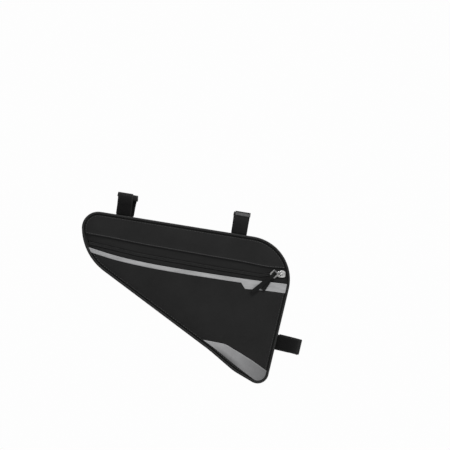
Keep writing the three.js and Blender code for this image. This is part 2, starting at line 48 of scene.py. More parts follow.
# Sizes of the bag, as in the part's source
GAP = 0.3
GUSSET_SEAM_GAP = 0.5
BAG_LENGTH = 281
BAG_HEIGHT = 189.3
BAG_WIDTH = 50
PIPING_RADIUS = 2
GUSSET_THICKNESS = 1.5
PANEL_THICKNESS = 1.4
FACE_PUFF = 4.5
PUFF_REACH = 11
UPPER_LOOP_RADIUS = 14.3
REAR_LOOP_RADIUS = 15.9
STRAP_WIDTH = 20
STRAP_THICKNESS = 1.2
STRAP_SPACING = 153.2
STRAP_CORNER_RADIUS = 5
TAPE_THICKNESS = 1
CHAIN_WIDTH = 4.6
CHAIN_THICKNESS = 2.2
CHAIN_TO_TAPE = 0.5
TAPE_TUCK = 4
SLIDER_LENGTH = 11.2
SLIDER_BACK_OFF = 0.6
WING_THICKNESS = 1.2
POST_WIDTH = 1.4
POST_LENGTH = 2.4
BAR_HEIGHT = 1.5
BAR_SET_BACK = 1
TAB_THICKNESS = 1.1
EYE_SIDE = 9.4
EYE_RIM = 2
EYE_REACH = 9
PULL_WIDTH = 6
PULL_THICKNESS = 0.9
FOLD_CLEARANCE = 0.25
SETTLE_START = 0.1
SETTLE_END = 0.5
PULL_SHORT_TAIL = 23
PULL_LONG_TAIL = 35
PULL_SHORT_HEADING = -115
PULL_LONG_HEADING = -132
TRIM_THICKNESS = 0.6
STRIPE_WIDTH = 5.5
ORIGIN_ALONG = 0.454
REAR_LOOP_DOWN = 0.695
STRIPE_STEP_START = 0.775
STRIPE_STEP_END = 0.797

# Corners over the piping: shares along and down the bag, and a radius as a share of its height
OUTLINE_CORNERS = {
    "front top": (-0.015, 0, 0.115),
    "rear top": (1.015, 0, 0.299),
    "tip": (0.964, 1.033, 0.077),
    "foot": (0.804, 0.94, 0.37),
    "waist": (0.678, 0.825, 0.475),
    "nose": (0.023, 0.315, 0.386),
}

# Lines across the zip side, from front to rear: shares along and down
SEAM = [(0.02, 0.165), (0.134, 0.169), (0.312, 0.179), (0.753, 0.188), (0.888, 0.195), (0.941, 0.188)]
CHAIN = [
    (0.045, 0.225), (0.194, 0.24), (0.29, 0.25), (0.856, 0.258),
    (0.895, 0.244), (0.927, 0.233), (0.977, 0.221),
]
STRIPE_TOP = [
    (0.041, 0.254), (0.172, 0.282), (0.286, 0.295), (0.401, 0.301),
    (0.571, 0.302), (0.813, 0.298), (0.966, 0.289),
]
STRIPE_TAB = [(0.799, 0.366), (0.895, 0.356), (0.973, 0.353)]
PATCH_TOP = [(0.642, 0.761), (0.725, 0.764), (0.753, 0.769), (0.784, 0.787), (0.875, 0.842), (0.952, 0.898)]
PATCH_LOW = [(0.642, 0.762), (0.701, 0.807), (0.795, 0.888), (0.888, 0.963)]

# Places that follow from the sizes
FRONT_END = -ORIGIN_ALONG * BAG_LENGTH
REAR_END = FRONT_END + BAG_LENGTH
STRAP_STACK = GAP + STRAP_THICKNESS + GAP
GUSSET_TOP = -(UPPER_LOOP_RADIUS + STRAP_STACK)
GUSSET_BEHIND = PANEL_THICKNESS + GUSSET_SEAM_GAP
GUSSET_HALF_WIDTH = BAG_WIDTH / 2 - GUSSET_BEHIND
GUSSET_INSET = PIPING_RADIUS + math.sqrt((PIPING_RADIUS + GAP) ** 2 - GUSSET_BEHIND**2)
TOP_EDGE = GUSSET_TOP + GUSSET_INSET
RIM_INSET = 2 * PIPING_RADIUS + GAP
TAPE_INSET = GUSSET_INSET + GUSSET_THICKNESS + GAP
TAPE_MIDDLE = -(PANEL_THICKNESS + GAP + TAPE_THICKNESS / 2)
SLIDER_INSIDE = CHAIN_THICKNESS / 2 + GAP
SLIDER_TOP = SLIDER_INSIDE + WING_THICKNESS
BAR_CENTRE = SLIDER_TOP + BAR_HEIGHT
FOLD_WIDTH = EYE_SIDE - 2 * EYE_RIM - 2 * GAP
TAPE_PARTING = CHAIN_WIDTH / 2 + CHAIN_TO_TAPE


def place_along(share):
    return FRONT_END + share * BAG_LENGTH


def place_down(share):
    return TOP_EDGE - share * BAG_HEIGHT


def smooth_step(value, low, high):
    share = np.clip((value - low) / (high - low), 0, 1)
    return share * share * (3 - 2 * share)


# Outline of the bag

OUTLINE_ARC_STEP = 4
OUTLINE_SPACING = 3.2
HALVINGS = 40


def round_corners(corners, arc_step):
    """Points and outward normals of a closed polygon whose corners (x, y, radius) are rounded."""
    points = np.array([corner[:2] for corner in corners], float)
    following = np.roll(points, -1, 0)
    area = np.sum(points[:, 0] * following[:, 1] - following[:, 0] * points[:, 1]) / 2
    winding = -1 if area < 0 else 1
    count = len(points)
    bends = []
    for i, (point, corner) in enumerate(zip(points, corners)):
        back = points[i - 1] - point
        on = points[(i + 1) % count] - point
        back /= np.linalg.norm(back)
        on /= np.linalg.norm(on)
        half_angle = math.acos(np.clip(back @ on, -1, 1)) / 2
        bends.append((point, back, on, half_angle, corner[2] / math.tan(half_angle)))
    shares = []
    for i in range(count):
        room = np.linalg.norm(points[(i + 1) % count] - points[i])
        wanted = bends[i][4] + bends[(i + 1) % count][4]
        shares.append(min(1, room / wanted) if wanted > 0 else 1)
    places = []
    normals = []
    for i, (point, back, on, half_angle, reach) in enumerate(bends):
        reach *= min(shares[i], shares[i - 1])
        radius = reach * math.tan(half_angle)
        middle = (back + on) / np.linalg.norm(back + on)
        centre = point + middle * radius / math.sin(half_angle)
        start = math.atan2(*(point + back * reach - centre)[::-1])
        end = math.atan2(*(point + on * reach - centre)[::-1])
        sweep = (end - start + math.pi) % (2 * math.pi) - math.pi
        steps = max(1, round(math.degrees(abs(sweep)) / arc_step))
        for step in range(steps + 1):
            angle = start + sweep * step / steps
            ray = np.array([math.cos(angle), math.sin(angle)])
            places.append(centre + ray * radius)
            normals.append(ray * math.copysign(1, sweep) * winding)
    places = np.array(places)
    normals = np.array(normals)
    kept = np.linalg.norm(np.roll(places, -1, 0) - places, axis=1) > 1e-4
    return places[kept], normals[kept]


def divide_loop(places, spacing, normals=None):
    """The closed loop with no step longer than spacing, and its normals if it has them."""
    more = []
    more_normals = []
    for i in range(len(places)):
        j = (i + 1) % len(places)
        steps = max(1, math.ceil(np.linalg.norm(places[j] - places[i]) / spacing))
        for step in range(steps):
            share = step / steps
            more.append(places[i] * (1 - share) + places[j] * share)
            if normals is not None:
                turned = normals[i] * (1 - share) + normals[j] * share
                more_normals.append(turned / np.linalg.norm(turned))
    if normals is None:
        return np.array(more)
    return np.array(more), np.array(more_normals)


def outline_loop():
    corners = []
    for along, down, radius in OUTLINE_CORNERS.values():
        corners.append((place_along(along), place_down(down), radius * BAG_HEIGHT))
    places, normals = round_corners(corners, OUTLINE_ARC_STEP)
    return divide_loop(places, OUTLINE_SPACING, normals)


OUTLINE, OUTLINE_NORMALS = outline_loop()
OUTLINE_STEPS = np.linalg.norm(np.roll(OUTLINE, -1, 0) - OUTLINE, axis=1)
OUTLINE_RUN = np.concatenate([[0], np.cumsum(OUTLINE_STEPS)])


def nearest_on(loop, places):
    """Each place's distance from a closed loop, the nearest step's index and share, and the way from it."""
    edge = np.roll(loop, -1, 0) - loop
    offset = places[:, None] - loop[None]
    share = np.clip((offset * edge).sum(2) / (edge**2).sum(1), 0, 1)
    away = offset - share[..., None] * edge
    distance = np.linalg.norm(away, axis=2)
    index = distance.argmin(1)
    rows = np.arange(len(places))
    return distance[rows, index], index, share[rows, index], away[rows, index]


def depth_inside(places):
    """Distance of each place from the outline, positive inside, and the run along it there."""
    distance, index, share, away = nearest_on(OUTLINE, places)
    outside = (away * OUTLINE_NORMALS[index]).sum(1) > 0
    return np.where(outside, -distance, distance), OUTLINE_RUN[index] + share * OUTLINE_STEPS[index]


def face_line(stations):
    """A smooth line through its stations, as height over X."""
    xs = np.array([place_along(along) for along, _ in stations])
    zs = np.array([place_down(down) for _, down in stations])
    before = np.maximum(np.arange(len(xs)) - 1, 0)
    after = np.minimum(np.arange(len(xs)) + 1, len(xs) - 1)
    slopes = (zs[after] - zs[before]) / (xs[after] - xs[before])

    def height(x):
        if x <= xs[0]:
            return zs[0] + slopes[0] * (x - xs[0])
        if x >= xs[-1]:
            return zs[-1] + slopes[-1] * (x - xs[-1])
        i = int(np.searchsorted(xs, x, side="right")) - 1
        span = xs[i + 1] - xs[i]
        t = (x - xs[i]) / span
        rise = zs[i + 1] - zs[i]
        curl = (1 - t) * (slopes[i] * span - rise) + t * (rise - slopes[i + 1] * span)
        return zs[i] + t * rise + t * (1 - t) * curl

    return height


seam_line = face_line(SEAM)
chain_line = face_line(CHAIN)
stripe_top_line = face_line(STRIPE_TOP)
stripe_tab_line = face_line(STRIPE_TAB)
patch_top_line = face_line(PATCH_TOP)
patch_low_line = face_line(PATCH_LOW)


def stripe_low_line(x):
    start = place_along(STRIPE_STEP_START)
    end = place_along(STRIPE_STEP_END)
    step = min(1, max(0, (x - start) / (end - start)))
    return (1 - step) * (stripe_top_line(x) - STRIPE_WIDTH) + step * stripe_tab_line(x)


def shifted(line, rise):
    return lambda x: line(x) + rise


def line_ends(line, depth):
    """X at the front and at the rear where a line crosses a depth inside the outline."""
    ends = []
    for outside in (FRONT_END, REAR_END):
        inside = 0
        for _ in range(HALVINGS):
            middle = (inside + outside) / 2
            if depth_inside(np.array([[middle, line(middle)]]))[0][0] > depth:
                inside = middle
            else:
                outside = middle
        ends.append(inside)
    return ends


# Surface of the two faces

SLIDER_X = line_ends(chain_line, TAPE_INSET)[1] - SLIDER_BACK_OFF - SLIDER_LENGTH / 2
SLIDER_PLACE = np.array([SLIDER_X - EYE_REACH / 2, chain_line(SLIDER_X)])
SLOPE_STEP = 0.5
NORMAL_STEP = 0.4

# Slack of the sewn cloth: broad waves inside, short puckers beside the edge seam
BROAD_HEIGHT = 0.75
BROAD_WAVES = ((1, 52, 3), (0.5, 24, 9))
PUCKER_HEIGHT = 0.32
PUCKER_PITCH = 8.5
PUCKER_DRIFT = 5
PUCKER_DRIFT_SIZE = 40
PUCKER_SEED = 21
PUCKER_DEPTH = 3.5
PUCKER_SPREAD = 4.5
SETTLED_DEPTH = (RIM_INSET + 0.4, RIM_INSET + 4)
CALM_REACH = (17, 34)


def swell(depth):
    """Height of a face over its flat rim, behind the piping."""
    return FACE_PUFF * (1 - np.exp(-np.maximum(0, depth - RIM_INSET) / PUFF_REACH))


def soft_noise(places, size, seed):
    return np.array([noise.noise(Vector((x / size, z / size, seed))) for x, z in places])


def slack(places, depth, run, side):
    """Rise of the cloth at each place, calm round the slider and its pull."""
    broad = 0
    for share, size, seed in BROAD_WAVES:
        broad = broad + share * soft_noise(places, size, seed + side)
    drift = PUCKER_DRIFT * soft_noise(places, PUCKER_DRIFT_SIZE, PUCKER_SEED)
    phase = 2 * math.pi * run / PUCKER_PITCH + drift
    near = np.exp(-(((depth - RIM_INSET - PUCKER_DEPTH) / PUCKER_SPREAD) ** 2))
    settled = smooth_step(depth, *SETTLED_DEPTH)
    if side < 0:
        away = np.linalg.norm(places - SLIDER_PLACE, axis=1)
        settled = settled * smooth_step(away, *CALM_REACH)
    return settled * (BROAD_HEIGHT * broad + PUCKER_HEIGHT * np.sin(phase) * near)


def face_height(places, side=-1):
    """Height of a face over the flat rim at each place."""
    places = np.atleast_2d(np.asarray(places, float))
    depth, run = depth_inside(places)
    return swell(depth) + slack(places, depth, run, side)


def face_points(places, offset, side=-1):
    """Places on a face, raised by offset, as points in space."""
    places = np.atleast_2d(np.asarray(places, float))
    y = side * (BAG_WIDTH / 2 + face_height(places, side) + offset)
    return np.stack([places[:, 0], y, places[:, 1]], 1)


def face_frame(x, line, offset):
    """Frame on the zip side: first axis along a line, second up across it, third out of the face."""
    step = SLOPE_STEP
    z = line(x)

    def at(px, pz):
        return face_points([[px, pz]], offset)[0]

    out = np.cross(at(x + step, z) - at(x - step, z), at(x, z + step) - at(x, z - step))
    out /= np.linalg.norm(out)
    run = at(x + step, line(x + step)) - at(x - step, line(x - step))
    run -= out * (run @ out)
    run /= np.linalg.norm(run)
    across = np.cross(out, run)
    return at(x, z), run, across, out


# Meshes

LINE_MARGIN = 0.3

# Points of a sheet: steps and clearances as shares of its spacing or of a row's distance
BORDER_STEP = 0.6
FIRST_ROW = 0.5
ROW_CLEARANCE = 0.92
GRID_RISE = 0.87
GRID_CLEARANCE = 0.45
LEAST_AREA = 1e-7

# Rows beside a rolled edge, as shares of its reach, and the fold above a line
ROLL_ROWS = (0.22, 0.5, 1, 1.8)
RIDGE_RISE = 1.2
RIDGE_SPREAD = 0.9

# Section of a tape
CORNER_STEPS = 3
SELVEDGE_WIDTH = 0.9
FLATNESS = 12


def in_scene(name, data):
    """A new object of the scene that holds the given data."""
    holder = bpy.data.objects.new(name, data)
    bpy.context.scene.collection.objects.link(holder)
    return holder


def new_piece(name, points, faces, uvs, sharp=50):
    """A mesh object from points in millimetres, with a UV map in metres."""
    mesh = bpy.data.meshes.new(name)
    mesh.from_pydata((np.asarray(points, float) * METRES).tolist(), [], faces)
    layer = mesh.uv_layers.new(name="cloth")
    flat = [value for face in uvs for corner in face for value in corner]
    layer.data.foreach_set("uv", np.array(flat, np.float32) * METRES)
    mesh.validate()
    mesh.shade_smooth()
    mesh.set_sharp_from_angle(angle=math.radians(sharp))
    return in_scene(name, mesh)


def inside_loop(loop, places):
    """Whether each place lies inside a closed loop."""
    x, z = places[:, 0][:, None], places[:, 1][:, None]
    ax, az = loop[:, 0], loop[:, 1]
    bx, bz = np.roll(loop, -1, 0).T
    crosses = (az > z) != (bz > z)
    rise = np.where(bz == az, 1, bz - az)
    reach = ax + (z - az) / rise * (bx - ax)
    return (crosses & (x < reach)).sum(1) % 2 == 1


def band_border(upper, lower, inset, spacing=3, steps=()):
    """Closed border of the part of the face between two lines, inside a rim."""
    rim = OUTLINE - OUTLINE_NORMALS * inset
    top = np.array([upper(x) if upper else np.inf for x in rim[:, 0]])
    low = np.array([lower(x) if lower else -np.inf for x in rim[:, 0]])
    marks = np.flatnonzero((rim[:, 1] < top - LINE_MARGIN) & (rim[:, 1] > low + LINE_MARGIN))
    runs = np.split(marks, np.flatnonzero(np.diff(marks) > 1) + 1)
    if len(runs) > 1 and runs[0][0] == 0 and runs[-1][-1] == len(rim) - 1:
        runs[0] = np.concatenate([runs.pop(), runs[0]])
    parts = [rim[run] for run in runs if len(run)]

    def samples(line):
        front, rear = line_ends(line, inset)
        count = max(2, round((rear - front) / spacing))
        xs = np.concatenate([np.linspace(front, rear, count), [x for x in steps if front < x < rear]])
        return np.array([[x, line(x)] for x in np.sort(xs)])

    if upper is None:
        return np.concatenate([samples(lower)[::-1], parts[0]])
    if lower is None:
        return np.concatenate([samples(upper), parts[0]])
    middle = (FRONT_END + REAR_END) / 2
    rear = [part for part in parts if part[:, 0].mean() > middle]
    front = [part for part in parts if part[:, 0].mean() <= middle]
    return np.concatenate([samples(upper), *rear, samples(lower)[::-1], *front])


def loop_normals(loop):
    """Outward normals of a clockwise closed loop."""
    run = np.roll(loop, -1, 0) - np.roll(loop, 1, 0)
    return unit(np.stack([-run[:, 1], run[:, 0]], 1))


def sheet_places(border, rows, spacing):
    """Places of a sheet: its border, the rows beside it and a grid inside them."""
    normals = loop_normals(border)
    points = [border]
    for distance in rows:
        row = border - normals * distance
        clear = nearest_on(border, row)[0] > distance * ROW_CLEARANCE
        points.append(row[clear & inside_loop(border, row)])
    low = border.min(0)
    high = border.max(0)
    columns = np.arange(low[0], high[0], spacing)
    levels = np.arange(low[1], high[1], spacing * GRID_RISE)
    grid = np.array([[x + (k % 2) * spacing / 2, z] for k, z in enumerate(levels) for x in columns])
    grid = grid[inside_loop(border, grid)]
    points.append(grid[nearest_on(border, grid)[0] > rows[-1] + spacing * GRID_CLEARANCE])
    return np.concatenate(points)


def triangulated(places, border_count):
    """The places in use and the triangles over them, which all turn the same way."""
    result = delaunay_2d_cdt([Vector(p) for p in places], [], [list(range(border_count))], 1, 1e-6)
    flat = np.array([tuple(p) for p in result[0]])
    triangles = []
    for a, b, c in result[2]:
        u, v = flat[b] - flat[a], flat[c] - flat[a]
        area = u[0] * v[1] - u[1] * v[0]
        if abs(area) > LEAST_AREA:
            triangles.append((a, b, c) if area > 0 else (c, b, a))
    used = sorted({i for t in triangles for i in t})
    renumber = {old: new for new, old in enumerate(used)}
    return flat[used], [tuple(renumber[i] for i in t) for t in triangles]


def face_sheet(name, border, outer, inner, side=-1, spacing=3.4, roll=0.0, roll_reach=1.5, ridge=None):
    """A curved sheet of cloth inside a border, between two heights over the face.

    roll lowers its outer skin towards the border, as on a folded and sewn edge, and
    ridge (height, line) raises it in a soft fold just above a line.
    """
    border = divide_loop(border, spacing * BORDER_STEP)
    rows = [roll_reach * share for share in ROLL_ROWS] if roll else [spacing * FIRST_ROW]
    flat, triangles = triangulated(sheet_places(border, rows, spacing), len(border))
    drop = roll * np.clip(1 - nearest_on(border, flat)[0] / roll_reach, 0, 1) ** 2
    if ridge:
        above = np.array([z - ridge[1](x) for x, z in flat])
        drop = drop - ridge[0] * np.exp(-(((above - RIDGE_RISE) / RIDGE_SPREAD) ** 2))
    skins = np.concatenate([face_points(flat, outer - drop, side), face_points(flat, inner, side)])
    count = len(flat)
    directed = {(t[k], t[(k + 1) % 3]) for t in triangles for k in range(3)}
    rim = [(a, b) for a, b in directed if (b, a) not in directed]
    faces = triangles + [tuple(i + count for i in t[::-1]) for t in triangles]
    faces += [(b, a, a + count, b + count) for a, b in sorted(rim)]
    if side > 0:
        faces = [face[::-1] for face in faces]
    drawn = np.concatenate([flat, flat + [0, outer - inner]])
    return new_piece(name, skins, faces, [[drawn[i] for i in face] for face in faces])


def rounded_section(width, thickness, radius, selvedge=0.0):
    """Section of a tape as (across, outward) points, with rounded edges and raised selvedges."""
    half = width / 2
    high = thickness / 2
    points = []
    for cx, cy, start in ((1, -1, -90), (1, 1, 0), (-1, 1, 90), (-1, -1, 180)):
        for step in range(CORNER_STEPS + 1):
            angle = math.radians(start + 90 * step / CORNER_STEPS)
            x = cx * (half - radius) + radius * math.cos(angle)
            y = cy * (high - radius) + radius * math.sin(angle)
            points.append((x, y))
        if selvedge:
            points.append((cx * (half - radius - SELVEDGE_WIDTH), cy * (high - selvedge)))
    unique = {(round(x, 5), round(y, 5)) for x, y in points}
    return np.array(sorted(unique, key=lambda point: math.atan2(point[1] * FLATNESS, point[0])))


def loft_piece(name, rings, us, vs, closed=False, sharp=50):
    """Skin over rings (stations, section points, xyz), with u along and v round it."""
    stations, count = rings.shape[:2]
    points = rings.reshape(-1, 3)
    spans = stations if closed else stations - 1
    faces = []
    uvs = []
    for i in range(spans):
        n = (i + 1) % stations
        for j in range(count):
            k = (j + 1) % count
            faces.append((i * count + j, i * count + k, n * count + k, n * count + j))
            u0, u1 = us[i], us[i + 1]
            v0, v1 = vs[j], vs[j + 1]
            uvs.append(((u0, v0), (u0, v1), (u1, v1), (u1, v0)))
    if not closed:
        first = tuple(range(count))[::-1]
        last = tuple(range((stations - 1) * count, stations * count))
        faces += [first, last]
        uvs.append([(us[0], vs[j]) for j in first])
        uvs.append([(us[-1], vs[j]) for j in range(count)])
    piece = new_piece(name, points, faces, uvs, sharp=sharp)
    if signed_volume(piece.data) < 0:
        piece.data.flip_normals()
    return piece


def signed_volume(mesh):
    mesh.calc_loop_triangles()
    corners = np.array([[mesh.vertices[i].co for i in t.vertices] for t in mesh.loop_triangles])
    return float((corners[:, 0] * np.cross(corners[:, 1], corners[:, 2])).sum())


def finer(values, times):
    """Catmull-Rom curve through rows of values, with times steps in each span."""
    values = np.asarray(values, float)
    last = len(values) - 1
    fine = []
    for i in range(last):
        a, b, c, d = (values[min(max(i + k, 0), last)] for k in (-1, 0, 1, 2))
        for step in range(times):
            t = step / times
            bend = (2 * a - 5 * b + 4 * c - d) * t**2
            twist = (3 * b - a - 3 * c + d) * t**3
            fine.append(0.5 * (2 * b + (c - a) * t + bend + twist))
    fine.append(values[-1])
    return np.array(fine)


def unit(vectors):
    return vectors / np.linalg.norm(vectors, axis=-1, keepdims=True)


def run_of(points, closed=False):
    """Length run along points, with one more value for a closed loop."""
    following = np.roll(points, -1, 0) if closed else points[1:]
    steps = np.linalg.norm(following - (points if closed else points[:-1]), axis=1)
    return np.concatenate([[0], np.cumsum(steps)])


# Materials: their sizes are metres, and their tones are shares of the light sent back


def feed(tree, socket, value):
    """Sets a socket to a value, or links it to another socket."""
    if isinstance(value, bpy.types.NodeSocket):
        tree.links.new(value, socket)
    else:
        socket.default_value = value


def add_node(tree, kind, inputs=(), **settings):
    """A new node, with its inputs as (name or number, value or socket)."""
    node = tree.nodes.new(kind)
    for name, value in settings.items():
        setattr(node, name, value)
    for name, value in dict(inputs).items():
        feed(tree, node.inputs[name], value)
    return node


class Finish:
    """A procedural material, from its coordinates to its shader."""

    def __init__(self, name, coordinates="UV"):
        self.material = bpy.data.materials.new(name)
        self.material.use_nodes = True
        self.tree = self.material.node_tree
        self.shader = self.tree.nodes["Principled BSDF"]
        self.place = self.add("ShaderNodeTexCoord")[coordinates]

    def add(self, kind, inputs=(), **settings):
        return add_node(self.tree, kind, inputs, **settings).outputs

    def maths(self, operation, *values):
        return self.add("ShaderNodeMath", enumerate(values), operation=operation)[0]

    def axis(self, which):
        return self.add("ShaderNodeSeparateXYZ", {"Vector": self.place})[which]

    def speckle(self, size, detail=2.0, roughness=0.55):
        """Noise whose grain has the given size along each axis."""
        size = size if isinstance(size, tuple) else (size, size, size)
        scale = tuple(1 / value for value in size)
        place = self.add("ShaderNodeMapping", {"Vector": self.place, "Scale": scale})["Vector"]
        values = {"Vector": place, "Scale": 1.0, "Detail": detail, "Roughness": roughness}
        return self.add("ShaderNodeTexNoise", values)["Fac"]

    def wave(self, which, pitch):
        return self.maths("SINE", self.maths("MULTIPLY", self.axis(which), 2 * math.pi / pitch))

    def threads(self, which, pitch):
        """Rounded parallel threads across one coordinate, from 0 to 1."""
        return self.maths("MULTIPLY_ADD", self.wave(which, pitch), 0.5, 0.5)

    def weave(self, pitch):
        """Height of a plain weave, from 0 to 1."""
        over = self.maths("MULTIPLY", self.wave(0, pitch), self.wave(1, pitch))
        return self.maths("MULTIPLY_ADD", over, 0.5, 0.5)

    def mixed(self, first, second, share):
        """Two numbers mixed, with a share of the second."""
        return self.maths("MULTIPLY_ADD", second, share, self.maths("MULTIPLY", first, 1 - share))

    def spread(self, factor, low, high, start=0.0, end=1.0):
        """Number between two values as a factor goes from start to end."""
        values = {"Value": factor, "From Min": start, "From Max": end, "To Min": low, "To Max": high}
        return self.add("ShaderNodeMapRange", values)["Result"]

    def colour(self, value):
        """A colour input from a socket, a grey or a colour."""
        if isinstance(value, bpy.types.NodeSocket):
            return value
        return (*value, 1.0) if isinstance(value, tuple) else (value, value, value, 1.0)

    def blend(self, factor, first, second, mode="MIX"):
        colours = {0: factor, 6: self.colour(first), 7: self.colour(second)}
        return self.add("ShaderNodeMix", colours, data_type="RGBA", blend_type=mode)[2]

    def between(self, factor, low, high, start=0.3, end=0.7):
        """Colour between two greys or colours as a factor goes from start to end."""
        return self.blend(self.spread(factor, 0, 1, start, end), low, high)

    def shaded(self, colour, height, amount, low=0.5, high=1.2):
        """A colour with painted shade in the hollows and a painted highlight on the crowns of a height."""
        return self.blend(amount, colour, self.between(height, low, high, 0, 1), "MULTIPLY")

    def bump(self, height, distance, strength=1.0, under=None):
        values = {"Height": height, "Distance": distance, "Strength": strength}
        if under is not None:
            values["Normal"] = under
        return self.add("ShaderNodeBump", values)["Normal"]

    def finish(self, colour, roughness, normal, **constants):
        values = {"Base Color": self.colour(colour), "Roughness": roughness, "Normal": normal}
        for name, value in constants.items():
            values[name.replace("_", " ")] = value
        for name, value in values.items():
            feed(self.tree, self.shader.inputs[name], value)
        return self.material


def woven_cloth():
    cloth = Finish("woven_polyester")
    weave = cloth.weave(0.0009)
    slubs = cloth.speckle((0.009, 0.0009, 1), detail=3)
    crossing = cloth.speckle((0.0009, 0.009, 1), detail=3)
    yarns = cloth.mixed(slubs, crossing, 0.5)
    broad = cloth.speckle(0.045, detail=3)
    tone = cloth.blend(0.5, cloth.between(yarns, 0.0043, 0.0108), cloth.between(broad, 0.0052, 0.0102))
    tone = cloth.shaded(tone, weave, 0.45, 0.45, 1.25)
    normal = cloth.bump(weave, 0.00018, 0.7, cloth.bump(yarns, 0.0005, 0.35))
    rough = cloth.spread(yarns, 0.74, 0.9)
    return cloth.finish(tone, rough, normal, Sheen_Weight=0.02, Sheen_Roughness=0.5, Specular_IOR_Level=0.12)


def piping_tape():
    tape = Finish("piping_tape")
    ribs = tape.threads(0, 0.0007)
    grain = tape.speckle(0.0016, detail=3)
    tone = tape.shaded(tape.between(grain, 0.0016, 0.0038), ribs, 0.6)
    normal = tape.bump(ribs, 0.00012, 0.6, tape.bump(grain, 0.0004, 0.3))
    rough = tape.spread(grain, 0.48, 0.66)
    return tape.finish(tone, rough, normal, Sheen_Weight=0.02, Specular_IOR_Level=0.2)


def zip_tape_cloth():
    tape = Finish("zip_tape_weave")
    height = tape.mixed(tape.threads(1, 0.0006), tape.threads(0, 0.0006), 0.35)
    grain = tape.speckle((0.004, 0.0007, 1), detail=3)
    broad = tape.speckle((0.05, 0.006, 1), detail=3)
    tone = tape.blend(0.5, tape.between(grain, 0.005, 0.0105), tape.between(broad, 0.0055, 0.0105))
    tone = tape.shaded(tone, height, 0.6)
    normal = tape.bump(height, 0.00014, 0.7)
    rough = tape.spread(grain, 0.7, 0.86)
    return tape.finish(tone, rough, normal, Sheen_Weight=0.02, Specular_IOR_Level=0.1)


def narrow_tape():
    tape = Finish("narrow_pull_tape")
    height = tape.mixed(tape.threads(0, 0.00075), tape.threads(1, 0.001), 0.35)
    grain = tape.speckle(0.0012, detail=3)
    tone = tape.shaded(tape.between(grain, 0.0015, 0.0038), height, 0.55, 0.5, 1.25)
    normal = tape.bump(height, 0.00018, 0.8)
    rough = tape.spread(grain, 0.6, 0.8)
    return tape.finish(tone, rough, normal, Sheen_Weight=0.02, Specular_IOR_Level=0.1)


def coil_nylon():
    nylon = Finish("coil_nylon", "Object")
    grain = nylon.speckle(0.0009)
    normal = nylon.bump(grain, 0.00008, 0.4)
    rough = nylon.spread(nylon.speckle(0.012), 0.42, 0.58, 0.3, 0.7)
    return nylon.finish(nylon.between(grain, 0.0075, 0.013), rough, normal, Specular_IOR_Level=0.16)


def thread_finish(name, low, high):
    thread = Finish(name, "Object")
    twist = thread.speckle(0.0005)
    normal = thread.bump(twist, 0.0001, 0.4)
    rough = thread.spread(twist, 0.45, 0.65)
    return thread.finish(thread.between(twist, low, high), rough, normal, Specular_IOR_Level=0.4)


def reflective_ribbon():
    ribbon = Finish("reflective_ribbon")
    ribs = ribbon.threads(0, 0.0012)
    beads = ribbon.speckle(0.0006)
    soil = ribbon.speckle((0.03, 0.006, 1), detail=4)
    tone = ribbon.between(soil, (0.172, 0.172, 0.175), (0.247, 0.247, 0.25))
    tone = ribbon.shaded(tone, ribs, 0.35, 0.72, 1.12)
    normal = ribbon.bump(ribs, 0.00012, 0.5, ribbon.bump(beads, 0.0001, 0.35))
    rough = ribbon.spread(beads, 0.4, 0.56)
    return ribbon.finish(tone, rough, normal, Specular_IOR_Level=0.4)


# Painted shade along the middle of the patch's low edge, where the puffed face turns down from the light
LOW_EDGE_SHADE = 0.85
LOW_EDGE_SHADE_HEIGHT = 0.0065
LOW_EDGE_SHADE_STARTS = (0.066, 0.08)
LOW_EDGE_SHADE_ENDS = (0.094, 0.115)
LOW_EDGE_SHADE_TONE = (0.05, 0.05, 0.051)


def low_edge_shade(film):
    """Share of painted shade on the patch, whose low edge is straight from front to rear."""
    (front, front_down), (rear, rear_down) = PATCH_LOW[0], PATCH_LOW[-1]
    slope = math.atan2(place_down(front_down) - place_down(rear_down), place_along(rear) - place_along(front))
    edge = place_along(front) * math.sin(slope) + place_down(front_down) * math.cos(slope)
    across = film.maths("MULTIPLY", film.axis(0), math.sin(slope))
    height = film.maths("MULTIPLY_ADD", film.axis(1), math.cos(slope), across)
    near = film.spread(height, LOW_EDGE_SHADE, 0.0, METRES * edge, METRES * edge + LOW_EDGE_SHADE_HEIGHT)
    starts = film.spread(film.axis(0), 0.0, 1.0, *LOW_EDGE_SHADE_STARTS)
    ends = film.spread(film.axis(0), 1.0, 0.0, *LOW_EDGE_SHADE_ENDS)
    return film.maths("MULTIPLY", near, film.maths("MULTIPLY", starts, ends))


def reflective_film():
    film = Finish("reflective_film")
    soil = film.speckle(0.022, detail=4)
    # Painted shade: the film is lighter at the front and darker towards the rear
    shade = film.between(film.axis(0), (0.214, 0.214, 0.218), (0.082, 0.082, 0.084), 0.058, 0.14)
    tone = film.blend(0.5, shade, film.between(soil, 0.82, 1.12), "MULTIPLY")
    # Painted shade along the middle of the patch's low edge
    tone = film.blend(low_edge_shade(film), tone, LOW_EDGE_SHADE_TONE)
    normal = film.bump(film.speckle(0.0005), 0.00006, 0.4)
    rough = film.spread(soil, 0.4, 0.54, 0.3, 0.7)
    return film.finish(tone, rough, normal, Specular_IOR_Level=0.4)


# Where the pile gives way to the selvedge across the tape, and to the smooth end along it
PILE_EDGE = (0.0082, 0.0087)
TAPE_END = (0.0065, 0.0045)


